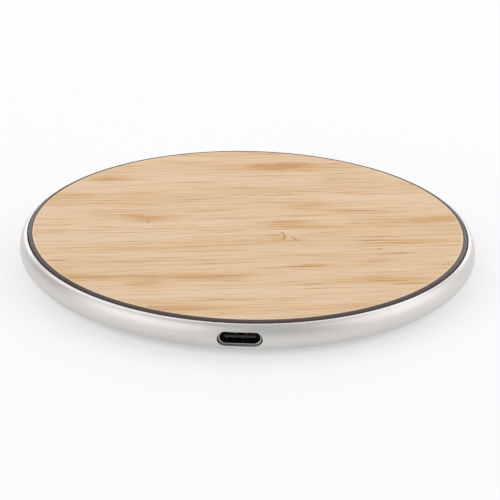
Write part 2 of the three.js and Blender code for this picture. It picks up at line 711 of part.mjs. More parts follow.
// A moulded chip with rows of bent leads along its two long sides.
function leadedChip({ width, depth, height, leads, pitch, reach }) {
  const standOff = 0.1;
  const leadWidth = 0.4 * pitch;
  const leadThickness = 0.2;
  const shoulderZ = height / 2;
  const body = solidOf(
    boxBetween([-width / 2, -depth / 2, standOff], [width / 2, depth / 2, height]),
  );
  const places = Array.from({ length: leads }, (_, i) => (i - (leads - 1) / 2) * pitch);
  const legs = places.flatMap((x) =>
    [-1, 1].map((side) => {
      const inner = side * (depth / 2 - leadThickness);
      const knee = side * (depth / 2 + reach / 2);
      const toe = side * (depth / 2 + reach);
      const span = (a, b) => [Math.min(a, b), Math.max(a, b)];
      const piece = (y0, y1, z0, z1) => {
        const [low, high] = span(y0, y1);
        return solidOf(boxBetween([x - leadWidth / 2, low, z0], [x + leadWidth / 2, high, z1]));
      };
      return join([
        piece(inner, knee, shoulderZ - leadThickness, shoulderZ),
        piece(knee - side * leadThickness, knee, 0, shoulderZ),
        piece(knee - side * leadThickness, toe, 0, leadThickness),
      ]);
    }),
  );
  return geometryOf(join([body, ...legs]));
}

// A wound inductor in its square moulded block, with cut corners.
function powerInductor() {
  const half = 2;
  const corner = 0.5;
  const height = 2;
  const outline = new THREE.Shape();
  outline.moveTo(half - corner, -half);
  [
    [half, -half + corner],
    [half, half - corner],
    [half - corner, half],
    [-half + corner, half],
    [-half, half - corner],
    [-half, -half + corner],
    [-half + corner, -half],
  ].forEach(([x, y]) => outline.lineTo(x, y));
  outline.closePath();
  return new THREE.ExtrudeGeometry(outline, { depth: height, bevelEnabled: false });
}

const chipCapacitor = () => chipBlock(3.2, 1.6, 1.6);
const bridgeTransistor = () => chipBlock(3.3, 3.3, 0.8);
const controllerChip = () => chipBlock(5, 5, 0.85);
const protocolChip = () =>
  leadedChip({ width: 4.9, depth: 3.9, height: 1.5, leads: 4, pitch: 1.27, reach: 1 });
const regulator = () =>
  leadedChip({ width: 2.9, depth: 1.6, height: 1.1, leads: 3, pitch: 0.95, reach: 0.6 });
const currentShunt = () => chipBlock(6.3, 3.2, 0.6);
const temperatureSensor = () => chipBlock(1.6, 0.8, 0.8);

// ---------- Assembly ----------

const pad = new THREE.Group();

function addTo(group, name, geometry, material, [x, y, z] = [0, 0, 0], turn = 0) {
  const mesh = new THREE.Mesh(geometry, material);
  mesh.name = name;
  mesh.position.set(x, y, z);
  mesh.rotation.z = turn;
  group.add(mesh);
}

function casing() {
  const group = new THREE.Group();
  addTo(group, "bamboo_disc", bambooDisc(), bamboo);
  addTo(group, "disc_adhesive", discAdhesive(), adhesiveFilm);
  addTo(group, "top_tray", topTray(), darkPlastic);
  addTo(group, "metal_rim", metalRim(), satinAluminium);
  addTo(group, "base_cover", baseCover(), darkPlastic);
  addTo(group, "anti_slip_ring", antiSlipRing(), silicone);
  screwPlaces.forEach(([x, y], i) =>
    addTo(group, `case_screw_${i + 1}`, caseScrew(), steel, [x, y, wellSeatZ]),
  );
  return group;
}

function coilStack() {
  const group = new THREE.Group();
  addTo(group, "coil_tape", coilTape(), adhesiveFilm);
  addTo(group, "transmitter_coil", transmitterCoil(), copperWire);
  addTo(group, "ferrite_tape", ferriteTape(), adhesiveFilm);
  addTo(group, "ferrite_plate", ferritePlate(), ferriteGrey);
  addTo(group, "foam_pad", foamPad(), foamGrey);
  addTo(group, "coil_lead_inner", innerLead(), copperWire);
  addTo(group, "coil_lead_outer", outerLead(), copperWire);
  return group;
}

function receptacle() {
  const group = new THREE.Group();
  addTo(group, "usb_shell", usbShell(), steel);
  addTo(group, "usb_housing", usbHousing(), blackResin);
  contactRows().forEach((contact, i) =>
    addTo(group, `usb_contact_${i + 1}`, usbContact(contact), goldPlate),
  );
  return group;
}

// Parts that stand on the board: name, geometry, material, x and y, and a turn about Z.
function boardParts() {
  const group = new THREE.Group();
  group.position.z = boardTopZ;
  const quarter = Math.PI / 2;
  const placed = [
    ["controller_chip", controllerChip(), blackResin, 0, -35.5, 0],
    ["protocol_chip", protocolChip(), blackResin, -9, -35, 0],
    ["voltage_regulator", regulator(), blackResin, -9, -29.2, 0],
    ["power_inductor", powerInductor(), ferriteGrey, -15.3, -30.8, 0],
    ["current_shunt", currentShunt(), blackResin, -16.5, -37.2, 0],
    ["temperature_sensor", temperatureSensor(), ceramicTan, 0, -30.9, quarter],
    ["input_capacitor_1", chipCapacitor(), ceramicTan, -8.5, -40.2, 0],
    ["input_capacitor_2", chipCapacitor(), ceramicTan, 8.5, -40.2, 0],
    ...[0, 1, 2, 3].map((i) => [
      `bridge_transistor_${i + 1}`,
      bridgeTransistor(),
      blackResin,
      7.5 + 4.6 * (i % 2),
      -30.4 - 4.7 * Math.floor(i / 2),
      0,
    ]),
    ...[0, 1, 2, 3].map((i) => [
      `resonant_capacitor_${i + 1}`,
      chipCapacitor(),
      ceramicTan,
      17.4,
      -27.6 - 2.8 * i,
      0,
    ]),
  ];
  placed.forEach(([name, geometry, material, x, y, turn]) =>
    addTo(group, name, geometry, material, [x, y, 0], turn),
  );
  return group;
}

function electronics() {
  const group = new THREE.Group();
  addTo(group, "circuit_board", circuitBoard(), boardGreen);
  group.add(receptacle(), boardParts());
  return group;
}

pad.add(casing(), coilStack(), electronics());

export default pad;
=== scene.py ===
"""A round wireless charging pad with a bamboo top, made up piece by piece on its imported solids.

Everything is in metres. +Z is up, and the USB-C receptacle faces -Y.
"""
import math

import bmesh
import bpy
import numpy as np
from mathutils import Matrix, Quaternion, Vector


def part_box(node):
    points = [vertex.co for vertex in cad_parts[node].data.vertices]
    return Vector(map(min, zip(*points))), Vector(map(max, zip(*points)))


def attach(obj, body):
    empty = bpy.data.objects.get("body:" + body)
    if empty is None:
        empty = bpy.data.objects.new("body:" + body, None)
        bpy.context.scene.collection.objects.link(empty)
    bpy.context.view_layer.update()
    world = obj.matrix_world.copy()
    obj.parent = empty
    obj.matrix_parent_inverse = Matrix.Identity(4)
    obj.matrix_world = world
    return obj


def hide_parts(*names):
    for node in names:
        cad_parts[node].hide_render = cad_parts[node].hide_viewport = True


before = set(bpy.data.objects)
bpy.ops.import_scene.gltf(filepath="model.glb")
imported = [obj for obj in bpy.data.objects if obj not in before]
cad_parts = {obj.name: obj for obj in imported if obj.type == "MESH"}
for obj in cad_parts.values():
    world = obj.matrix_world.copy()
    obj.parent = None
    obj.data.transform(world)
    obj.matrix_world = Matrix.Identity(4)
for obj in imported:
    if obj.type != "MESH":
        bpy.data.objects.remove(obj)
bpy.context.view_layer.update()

# ---- Table, lights and camera ----
# A white light table between large soft boxes: left, right, overhead and low behind. The camera
# stands in front of the receptacle and a little to its right, looking down at the bamboo.

MM = 0.001


def feed(node, inputs):
    """Feeds a shader node's inputs, given by name or number: a socket is linked, and anything else
    becomes the input's own value."""
    for key, value in inputs.items():
        socket = node.inputs[key]
        if isinstance(value, bpy.types.NodeSocket):
            node.id_data.links.new(value, socket)
        else:
            socket.default_value = (*value, 1.0) if socket.type == "RGBA" else value
    return node


def add_node(tree, kind, inputs):
    """A new shader node in a tree, with some of its inputs fed."""
    return feed(tree.nodes.new("ShaderNode" + kind), inputs)


def new_material(name, inputs):
    """A new material: (the material, its Principled shader with some inputs fed, the piece's own
    coordinates in metres)."""
    material = bpy.data.materials.new(name)
    material.use_nodes = True
    shader = feed(material.node_tree.nodes["Principled BSDF"], inputs)
    return material, shader, add_node(material.node_tree, "TexCoord", {}).outputs["Object"]


table_half = 4.0
table_z = -0.02 * MM  # just clear of the anti-slip ring's face
table_mesh = bpy.data.meshes.new("table_top")
table_mesh.from_pydata(
    [(x * table_half, y * table_half, table_z) for x, y in ((-1, -1), (1, -1), (1, 1), (-1, 1))],
    [],
    [(0, 1, 2, 3)],
)
table = bpy.data.objects.new("table_top", table_mesh)
bpy.context.scene.collection.objects.link(table)
table_white, _, _ = new_material("table_white", {
    "Base Color": (0.45, 0.45, 0.45),
    "Roughness": 0.9,
    "Specular IOR Level": 0.0,
    "Emission Color": (1.0, 1.0, 1.0),
    "Emission Strength": 0.52,
})
table_mesh.materials.append(table_white)

world = bpy.data.worlds.new("studio")
world.use_nodes = True
feed(world.node_tree.nodes["Background"], {"Color": (1.0, 1.0, 1.0), "Strength": 0.43})
bpy.context.scene.world = world
bpy.context.scene.view_settings.view_transform = "Standard"


def soft_box(name, place, size, power):
    """A rectangular area light at a place, turned to face the pad."""
    light = bpy.data.lights.new(name, "AREA")
    light.shape = "RECTANGLE"
    light.size, light.size_y = size
    light.energy = power
    box = bpy.data.objects.new(name, light)
    box.location = place
    box.rotation_euler = (-Vector(place)).to_track_quat("-Z", "Y").to_euler()
    bpy.context.scene.collection.objects.link(box)


soft_box("soft_box_left", (-1.03, -0.80, 0.66), (1.9, 1.35), 9.2)
soft_box("soft_box_right", (1.25, -0.15, 0.66), (1.7, 1.35), 8.2)
soft_box("soft_box_above", (-0.08, 0.64, 1.20), (2.4, 1.3), 8.0)
soft_box("soft_box_behind", (0.0, 1.60, 0.48), (3.6, 0.9), 10.5)

aim = Vector((0.0, 0.0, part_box("bamboo_disc")[1][2]))
camera_distance = 0.520
camera_azimuth = math.radians(1.4)
camera_elevation = math.radians(22.785)
camera_roll = math.radians(1.149)
lens = bpy.data.cameras.new("camera")
lens.sensor_width = 36.0
lens.lens = 170.2
lens.shift_x = 0.004
lens.shift_y = -0.0432
camera = bpy.data.objects.new("camera", lens)
level = math.cos(camera_elevation)
towards = Vector((
    math.sin(camera_azimuth) * level,
    -math.cos(camera_azimuth) * level,
    math.sin(camera_elevation),
))
camera.location = aim + camera_distance * towards
camera.rotation_mode = "QUATERNION"
look = (-towards).to_track_quat("-Z", "Y")
camera.rotation_quaternion = look @ Quaternion((0, 0, 1), camera_roll)
bpy.context.scene.collection.objects.link(camera)
bpy.context.scene.camera = camera

# ---- Base cover ----
# The moulded black plastic floor of the pad. Its rim pulls up against the metal rim, a groove
# takes the anti-slip ring, and four wells take the case screws.

AROUND = 384


def turned(profile, first=0, last=AROUND):
    """A profile of (radius, height) points carried round the Z axis: the point (r, z) at the turn a
    is (r sin a, -r cos a, z), so a = 0 is the receptacle's side. The turn runs from the first to the
    last of AROUND equal steps. Returns (steps + 1, points, 3)."""
    profile = np.asarray(profile, float)
    turn = 2.0 * np.pi / AROUND * np.arange(first, last + 1)[:, None]
    radius, height = profile[:, 0][None, :], profile[:, 1][None, :]
    return np.stack([radius * np.sin(turn), -radius * np.cos(turn), height + 0.0 * turn], axis=-1)


def rounded(corners, radius, steps=4, closed=True):
    """A polyline with its corners rounded. Each corner c with unit edges u and w to its neighbours
    becomes the curve c + u k (1 - t)^2 + w k t^2 for t from 0 to 1, which leaves along u and
    arrives along w, with k the radius or two fifths of the shorter edge."""
    corners = np.asarray(corners, float)
    radii = np.broadcast_to(np.asarray(radius, float), len(corners))
    before, after = np.roll(corners, 1, axis=0), np.roll(corners, -1, axis=0)
    to_before, to_after = before - corners, after - corners
    short = np.minimum(np.linalg.norm(to_before, axis=1), np.linalg.norm(to_after, axis=1))
    k = np.minimum(radii, 0.4 * short)[:, None, None]
    u = (to_before / np.linalg.norm(to_before, axis=1)[:, None])[:, None, :]
    w = (to_after / np.linalg.norm(to_after, axis=1)[:, None])[:, None, :]
    t = np.linspace(0.0, 1.0, steps)[None, :, None]
    curve = corners[:, None, :] + k * (u * (1 - t) ** 2 + w * t**2)
    if not closed:
        curve = [corners[:1], *curve[1:-1], corners[-1:]]
    return np.concatenate(list(curve), axis=0)


def build(name, sheets, crease=40.0, finishes=None):
    """One mesh from sheets of points on a grid of two parameters: each cell of a grid is a quad,
    grids that share an edge are joined where their points meet, and faces are turned outwards.
    finishes gives the number of each sheet's material, where the piece has more than one."""
    places, quads, kinds, first = [], [], [], 0
    for number, sheet in enumerate(sheets):
        rows, columns = sheet.shape[:2]
        kinds += [finishes[number] if finishes else 0] * ((rows - 1) * (columns - 1))
        index = first + np.arange(rows * columns).reshape(rows, columns)
        quad = np.stack([index[:-1, :-1], index[1:, :-1], index[1:, 1:], index[:-1, 1:]], axis=-1)
        places.append(sheet.reshape(-1, 3))
        quads.append(quad.reshape(-1, 4))
        first += rows * columns
    mesh = bpy.data.meshes.new(name)
    mesh.from_pydata(np.concatenate(places), [], np.concatenate(quads).tolist())
    mesh.polygons.foreach_set("material_index", np.array(kinds, dtype=np.int32))
    work = bmesh.new()
    work.from_mesh(mesh)
    bmesh.ops.remove_doubles(work, verts=work.verts, dist=2e-7)
    bmesh.ops.recalc_face_normals(work, faces=work.faces)
    work.to_mesh(mesh)
    work.free()
    mesh.shade_smooth()
    mesh.set_sharp_from_angle(angle=math.radians(crease))
    piece = bpy.data.objects.new(name, mesh)
    bpy.context.scene.collection.objects.link(piece)
    return piece


def finish_piece(piece, materials, slot, *nodes):
    """Gives a piece its materials, rides it on the pad and hides its solids. The slot is not used."""
    for material in materials:
        piece.data.materials.append(material)
    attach(piece, "root")
    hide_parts(*nodes)


def noise(source, scale, detail=2.0, roughness=0.5, stretch=(1, 1, 1)):
    """A noise pattern on some coordinates, stretched along each axis."""
    mapping = add_node(source.id_data, "Mapping", {"Vector": source, "Scale": stretch})
    pattern = {"Vector": mapping.outputs[0], "Scale": scale, "Detail": detail, "Roughness": roughness}
    return add_node(source.id_data, "TexNoise", pattern).outputs["Fac"]


def mix_colour(factor, first, second):
    """Two colours mixed by a factor, each a socket or an (r, g, b)."""
    node = factor.id_data.nodes.new("ShaderNodeMix")
    node.data_type = "RGBA"
    return feed(node, {0: factor, 6: first, 7: second}).outputs[2]


def spread(source, low, high, to_low=0.0, to_high=1.0):
    """A value's part from low to high stretched onto a new range, with nothing past its ends."""
    limits = {"From Min": low, "From Max": high, "To Min": to_low, "To Max": to_high}
    return add_node(source.id_data, "MapRange", {"Value": source, **limits}).outputs["Result"]


def bump(shader, height, depth):
    """Small relief on the surface from a height pattern, with its depth in metres."""
    relief = add_node(shader.id_data, "Bump", {"Height": height, "Distance": depth, "Strength": 1.0})
    feed(shader, {"Normal": relief.outputs["Normal"]})


def moulded_plastic(name, colour, roughness, grain, depth, worn=1.35, gloss=0.5):
    """Moulded plastic with a spark-textured grain of a size and depth in metres, a little paler and
    shinier where it has been handled."""
    material, shader, place = new_material(name, {"Specular IOR Level": gloss})
    handled = noise(place, 60.0, 4.0, 0.55)
    paler = tuple(min(1.0, c * worn) for c in colour)
    feed(shader, {
        "Base Color": mix_colour(spread(handled, 0.35, 0.7), colour, paler),
        "Roughness": spread(handled, 0.3, 0.7, roughness + 0.05, roughness - 0.05),
    })
    bump(shader, noise(place, 1.0 / grain, 3.0, 0.6), depth)
    return material


base_low, base_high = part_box("base_cover")
foot_outer, _, groove_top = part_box("anti_slip_ring")[1]
base_radius, base_bottom = base_high[0], base_low[2]
foot_width, groove_gap = 6.0 * MM, 0.1 * MM
foot_inner = foot_outer - foot_width
flange_top = base_bottom + 0.65 * MM
floor_top = base_bottom + 1.0 * MM
flange_inner = base_radius - 0.94 * MM
label_radius, label_depth = 22.0 * MM, 0.2 * MM
board_inner = 26.5 * MM
base_chamfer = 0.3 * MM


def between(inner, outer, shares):
    """A sheet from one outline to another with as many points: inner + share (outer - inner)."""
    shares = np.asarray(shares, float)[None, :, None]
    return inner[:, None, :] + shares * (outer - inner)[:, None, :]


def loop_round(columns, rows):
    """The four edges of a grid of points, walked once round and back to the start."""
    grid_edges = [(columns, rows[:1]), (columns[-1:], rows), (columns[::-1], rows[-1:]),
                  (columns[:1], rows[::-1])]
    corners = [np.stack(np.broadcast_arrays(c, r), axis=-1) for c, r in grid_edges]
    return np.concatenate([corners[0], *[edge[1:] for edge in corners[1:]]])


def on_circle(radius, step):
    """The point (x, y) at a radius and a turn step."""
    turn = 2.0 * math.pi / AROUND * step
    return radius * np.array([math.sin(turn), -math.cos(turn)])


def stud_sheets(first, last, radii, middle, profile, z):
    """A stud or well that grows out of a flat floor at a height z, between two turn steps and two
    radii. Its profile of (radius, height) points is carried round its middle on rays to the
    sector's edge, and the floor from its first point to that edge fills the rest."""
    turn, radius = loop_round(2.0 * np.pi / AROUND * np.arange(first, last + 1), radii).T
    edge = np.stack([radius * np.sin(turn), -radius * np.cos(turn)], axis=1)
    rays = edge - middle
    rays /= np.linalg.norm(rays, axis=1)[:, None]
    flat = between(middle + rays * profile[0][0], edge, np.linspace(0, 1, 4))
    floor = np.concatenate([flat, np.full((*flat.shape[:2], 1), z)], axis=2)
    stud = [np.column_stack([middle + rays * r, np.full(len(rays), h)]) for r, h in profile]
    return [floor, np.stack(stud, axis=1)]


def studded(radii, z, studs, closed=True):
    """A flat ring at a height z between two radii, with studs or wells in it. Each is (first step,
    last step, middle, profile), and flat sectors fill the turns between them."""
    sheets = []
    for stud in studs:
        sheets += stud_sheets(*stud[:2], radii, *stud[2:], z)
    starts = [stud[0] for stud in studs[1:]] + ([studs[0][0] + AROUND] if closed else [])
    for stud, start in zip(studs, starts):
        sheets.append(turned([(r, z) for r in radii], stud[1], start))
    return sheets


def sector(step, middle, profile, reach=6):
    """A stud at a place, in the sector that reaches some whole steps each way from a turn step."""
    return (round(step) - reach, round(step) + reach, middle, profile)


def mirrored(step, middle, profile, reach=6):
    """The same stud on both sides of the receptacle."""
    sides = ((step, middle), (AROUND - step, middle * (-1, 1)))
    return [sector(side_step, place, profile, reach) for side_step, place in sides]


def at_screws(profile):
    """The same stud or well at each of the four case screws."""
    steps = [(2 * number + 1) * AROUND // 8 for number in range(4)]
    return [sector(step, on_circle(screw_circle, step), profile) for step in steps]


screw_low, screw_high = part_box("case_screw_1")
screw_circle = float(np.hypot(screw_low[0] + screw_high[0], screw_low[1] + screw_high[1])) / 2
board_low, board_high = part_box("circuit_board")
shell_low, shell_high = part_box("usb_shell")
screw_band = screw_circle + np.linspace(-3.6 * MM, 3.6 * MM, 9)
edge_break = 0.1 * MM
well_radius, shank_hole = 2.0 * MM, 1.2 * MM
well_outer = well_radius + 1.0 * MM
screw_seat = screw_low[2] + 0.8 * MM
well_top = screw_seat + 0.9 * MM
well_inside = [
    (well_radius, groove_top), (well_radius, screw_seat), (shank_hole, screw_seat), (shank_hole, well_top),
]


def peg(radius, foot, end, edge=edge_break):
    """The side of a round peg from its foot to its end, up or down, with its end's edge broken."""
    return [(radius, foot), (radius, end - edge if end > foot else end + edge), (radius - edge, end)]


well_outside = [*peg(well_outer, floor_top, well_top), (shank_hole, well_top)]

# Six low pads carry the board: at its two posts, beside the receptacle and at its inner corners.
pad_radius, pad_top, pad_break = 2.0 * MM, board_low[2], 0.05 * MM
pin_hole = 0.9 * MM
pad = peg(pad_radius, floor_top, pad_top, pad_break)
solid_pad = [*pad, (0.0, pad_top)]
holed_pad = [*pad, (pin_hole, pad_top), (pin_hole, floor_top), (0.0, floor_top)]
leg_width = 1.1 * MM
beside_shell = np.array([2 * shell_high[0] + leg_width, shell_high[1]])
beside_step, post_step = 14, 35.2
inner_step = 0.8 * post_step
post_place = on_circle(42.5 * MM, post_step)
floor_studs = at_screws(well_outside)
floor_studs += mirrored(beside_step, beside_shell, solid_pad) + mirrored(post_step, post_place, holed_pad)
floor_studs.sort(key=lambda stud: stud[0])
inner_circle = board_inner + pad_radius
inner_band = inner_circle + np.linspace(-2.6 * MM, 2.6 * MM, 7)
inner_studs = mirrored(inner_step, on_circle(inner_circle, inner_step), solid_pad, 8)
groove_band = np.linspace(foot_inner + 0.1 * MM, foot_outer - 0.1 * MM, 9)


def softened(*corners):
    """An open line of (radius, height, rounding in mm) corners, rounded."""
    return rounded([corner[:2] for corner in corners], [corner[2] * MM for corner in corners], closed=False)


base_under = softened(
    (label_radius, base_bottom + label_depth, 0.0), (label_radius, base_bottom, 0.06),
    (foot_inner - groove_gap, base_bottom, 0.12), (foot_inner - groove_gap, groove_top, 0.06),
    (groove_band[0], groove_top, 0.0),
)
base_edge = softened(
    (groove_band[-1], groove_top, 0.0), (foot_outer + groove_gap, groove_top, 0.06),
    (foot_outer + groove_gap, base_bottom, 0.12), (base_radius - base_chamfer, base_bottom, 0.1),
    (base_radius, base_bottom + base_chamfer, 0.1), (base_radius, flange_top, 0.05),
    (flange_inner, flange_top, 0.05), (flange_inner, floor_top, 0.05), (screw_band[-1], floor_top, 0.0),
)
wells = at_screws(well_inside)
wells_below = studded(groove_band, groove_top, wells)
floor_above = studded(screw_band, floor_top, floor_studs)
for number, well in enumerate(wells):
    above = [stud[0] for stud in floor_studs].index(well[0])
    floor_above[2 * above + 1][:, -1] = wells_below[2 * number + 1][:, -1]
base_sheets = [
    turned(np.vstack([[(0.0, base_bottom + label_depth)], base_under])),
    turned(base_edge),
    *wells_below,
    *floor_above,
    turned([(screw_band[0], floor_top), (inner_band[-1], floor_top)]),
    *studded(inner_band, floor_top, inner_studs),
    turned([(inner_band[0], floor_top), (0.0, floor_top)]),
]
base_black = moulded_plastic("base_black", (0.020, 0.019, 0.020), 0.52, 0.35 * MM, 0.025 * MM)
finish_piece(build("base_cover_moulding", base_sheets), [base_black], "base_plastic", "base_cover")

# ---- Anti-slip ring ----
# A flat ring of soft black silicone stuck into the base's groove. It hides the screws and is all
# that touches the table. Its edges are rounded, and two fine lines run round its face.

foot_round = 0.25 * MM
line_depth, line_half = 0.06 * MM, 0.12 * MM
foot_corners = [(foot_inner, groove_top), (foot_inner, 0.0)]
for share in (0.25, 0.75):
    at = foot_inner + share * foot_width
    foot_corners += [
        (at - 2 * line_half, 0.0), (at - line_half, line_depth), (at + line_half, line_depth),
        (at + 2 * line_half, 0.0),
    ]
foot_corners += [(foot_outer, 0.0), (foot_outer, groove_top)]
foot_profile = rounded(foot_corners, [0.0, foot_round, *[0.05 * MM] * 8, foot_round, 0.0], 5)


def ramp(source, *stops):
    """A value turned into a colour by stops of (position, (r, g, b))."""
    node = add_node(source.id_data, "ValToRGB", {"Fac": source})
    elements = node.color_ramp.elements
    while len(elements) < len(stops):
        elements.new(0.5)
    for element, (position, colour) in zip(elements, stops):
        element.position = position
        element.color = (*colour, 1.0)
    return node.outputs["Color"]


silicone, shader, place = new_material("black_silicone", {"Sheen Weight": 0.15, "Sheen Roughness": 0.5})
dusting = noise(place, 90.0, 5.0, 0.6)
feed(shader, {
    "Base Color": ramp(dusting, (0.35, (0.020, 0.020, 0.021)), (0.75, (0.036, 0.036, 0.037))),
    "Roughness": spread(dusting, 0.3, 0.7, 0.72, 0.85),
})
bump(shader, noise(place, 6000.0), 0.008 * MM)
foot = build("silicone_foot_ring", [turned(np.vstack([foot_profile, foot_profile[:1]]))])
finish_piece(foot, [silicone], "silicone", "anti_slip_ring")

# ---- Top tray ----
# The dark plastic tray that the bamboo lies in. Its narrow rounded rim shows between the bamboo and
# the metal, and a skirt fits inside the metal rim. The coil, the bosses and the posts are below it.

tray_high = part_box("top_tray")[1]
disc_low, disc_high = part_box("bamboo_disc")
coil_low, coil_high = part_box("transmitter_coil")
rim_low, rim_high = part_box("metal_rim")
tray_radius, tray_top = tray_high[0], tray_high[2]
recess_radius = disc_high[0] + 0.08 * MM
recess_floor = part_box("disc_adhesive")[0][2]
tray_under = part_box("coil_tape")[1][2]
ledge_drop = 1.1 * MM
ledge_z = rim_high[2] - ledge_drop
body_radius = tray_radius - 1.54 * MM
skirt_inner = body_radius - 1.2 * MM
skirt_bottom = tray_under - 1.35 * MM
rim_round, rim_fall = 0.66 * MM, 0.43 * MM
rim_groove, groove_floor = 0.17 * MM, 0.12 * MM

quarter = np.linspace(0.0, np.pi / 2, 12)
rim_arc = np.column_stack([
    tray_radius - rim_groove - rim_round + rim_round * np.cos(quarter),
    tray_top - rim_fall + rim_fall * np.sin(quarter),
])
recess_break = 0.06 * MM
tray_top_side = [
    (tray_radius, ledge_z),
    (tray_radius, ledge_z + groove_floor),
    (tray_radius - rim_groove, ledge_z + groove_floor + rim_groove),
    *rim_arc,
    (recess_radius + recess_break, tray_top),
    (recess_radius, tray_top - recess_break),
    (recess_radius, recess_floor),
    (0.0, recess_floor),
]


def cut_at(step, profile):
    """A turned profile's points at one turn step."""
    return turned(profile, step, step)[0]


def stepped(spans):
    """A turned body whose profile changes at some turns: each span is (first step, last step,
    profile), all with as many points, and a flat wall joins two profiles where they meet."""
    sheets = [turned(profile, first, last) for first, last, profile in spans]
    for (_, last, before), (_, _, after) in zip(spans, spans[1:] + spans[:1]):
        sheets.append(np.stack([cut_at(last, before), cut_at(last, after)]))
    return sheets


def tray_edge(from_z, skirt_z, over_z):
    """The tray's profile past its bosses: its underside, the skirt down to skirt_z, and its top."""
    return [
        (screw_band[-1], from_z), (skirt_inner, from_z), (skirt_inner, skirt_z), (body_radius, skirt_z),
        (body_radius, from_z), (body_radius, over_z), (body_radius, ledge_z), *tray_top_side,
    ]


# The receptacle's shell reaches up into a pocket, and the skirt is left out in front of it.
pocket_z = shell_high[2] + 0.1 * MM
pocket_half, notch_half, fence_half = 7, 8, 12
open_front = tray_edge(tray_under, tray_under, pocket_z)
skirted = tray_edge(tray_under, skirt_bottom, pocket_z)
pocketed = tray_edge(pocket_z, pocket_z, pocket_z)
tray_sheets = stepped([
    (-pocket_half, pocket_half, pocketed), (pocket_half, notch_half, open_front),
    (notch_half, AROUND - notch_half, skirted), (AROUND - notch_half, AROUND - pocket_half, open_front),
])

# The bosses take the screws, and the posts' pins place the board.
boss_radius, boss_bottom = 2.65 * MM, well_top + 0.1 * MM
pilot_radius, pilot_top = 1.05 * MM, screw_high[2] + 0.1 * MM
boss = [
    *peg(boss_radius, tray_under, boss_bottom), (pilot_radius + edge_break, boss_bottom),
    (pilot_radius, boss_bottom + edge_break), (pilot_radius, pilot_top), (0.0, pilot_top),
]
post_radius, post_bottom = 1.6 * MM, board_high[2] + 0.1 * MM
pin_radius, pin_end = 0.8 * MM, board_high[2] - 1.0 * MM
post = [
    *peg(post_radius, tray_under, post_bottom), *peg(pin_radius, post_bottom, pin_end, 2 * edge_break),
    (0.0, pin_end),
]
tray_studs = at_screws(boss) + mirrored(post_step, post_place, post)
tray_studs.sort(key=lambda stud: stud[0])
flat_band = [(r, tray_under) for r in (*screw_band[:5], *screw_band[4:])]
pocket_band = [(r, tray_under) for r in screw_band[:5]] + [(r, pocket_z) for r in screw_band[4:]]
tray_sheets += studded(screw_band, tray_under, tray_studs, closed=False)
tray_sheets += [
    turned(pocket_band, -pocket_half, pocket_half),
    turned(flat_band, pocket_half, tray_studs[0][0]),
    turned(flat_band, tray_studs[-1][1], AROUND - pocket_half),
]
tray_sheets += [
    np.stack([cut_at(step, flat_band), cut_at(step, pocket_band)]) for step in (-pocket_half, pocket_half)
]

# A low fence under the floor centres the coil, open at the front for the coil's leads.
fence_inner, fence_outer = coil_high[0] + 0.3 * MM, coil_high[0] + 1.1 * MM
fence_bottom = tray_under - 0.9 * MM


def tray_middle(fence_z):
    """The underside from the middle to the bosses, with the coil fence reaching down to fence_z."""
    return [(0.0, tray_under), (fence_inner, tray_under), (fence_inner, fence_z), (fence_outer, fence_z),
            (fence_outer, tray_under), (screw_band[0], tray_under)]


tray_sheets += stepped([
    (-fence_half, fence_half, tray_middle(tray_under)),
    (fence_half, AROUND - fence_half, tray_middle(fence_bottom)),
])
tray_dark = moulded_plastic("tray_dark", (0.066, 0.045, 0.040), 0.42, 0.25 * MM, 0.008 * MM, gloss=0.32)
finish_piece(build("tray_moulding", tray_sheets, crease=35.0), [tray_dark], "dark_plastic", "top_tray")

# ---- Metal rim ----
# A turned aluminium hoop with a full round side, blasted to a fine satin and anodised. Its top edge
# has a bright cut chamfer, and its side is pierced for the receptacle.

rim_radius, rim_top, rim_bottom = rim_high[0], rim_high[2], rim_low[2]
widest_z = 4.4 * MM
edge_inset, foot_inset = 1.6 * MM, 3.4 * MM
edge_radius = rim_radius - edge_inset
chamfer_width, chamfer_drop = 0.55 * MM, 0.27 * MM
upper_sweep, lower_sweep = math.radians(66.0), math.radians(57.0)
upper_r = (edge_inset - chamfer_width) / (1.0 - math.cos(upper_sweep))
upper_z = (rim_top - chamfer_drop - widest_z) / math.sin(upper_sweep)
lower_r = foot_inset / (1.0 - math.cos(lower_sweep))
lower_z = (widest_z - rim_bottom) / math.sin(lower_sweep)
seat_radius = rim_radius - foot_inset - 0.5 * MM
ledge_radius = edge_radius - 1.4 * MM
wall_radius = rim_radius - 2.4 * MM
lip_radius = seat_radius - 0.8 * MM
lip_top = flange_top + 0.55 * MM
ledge_under = ledge_z - 0.85 * MM


def side_radius(z):
    """The side's radius at a height: R - a + a sqrt(1 - ((z - z0) / b)^2), above or below z0."""
    rise = z - widest_z
    a = np.where(rise > 0.0, upper_r, lower_r)
    b = np.where(rise > 0.0, upper_z, lower_z)
    return rim_radius - a + a * np.sqrt(1.0 - (rise / b) ** 2)


def stadium_reach(directions, straight, half):
    """How far a ray from the middle of a stadium runs to its edge: half / |dz| where that meets the
    straight side, or else straight |dx| + sqrt(half^2 - (straight dz)^2) to the round end."""
    across, up = np.abs(directions[:, 0]), np.abs(directions[:, 1])
    to_side = half / np.maximum(up, 1e-9)
    to_end = straight * across + np.sqrt(np.maximum(half**2 - (straight * up) ** 2, 0.0))
    return np.where(to_side * across <= straight, to_side, to_end)


housing_low, housing_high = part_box("usb_housing")
port_z = (housing_low[2] + housing_high[2]) / 2
shell_half_width, shell_half_height = shell_high[0], shell_high[2] - port_z
port_half = shell_half_height + 0.06 * MM
port_straight = shell_half_width + 0.20 * MM - port_half
lip_round = 0.16 * MM
port_steps = 10

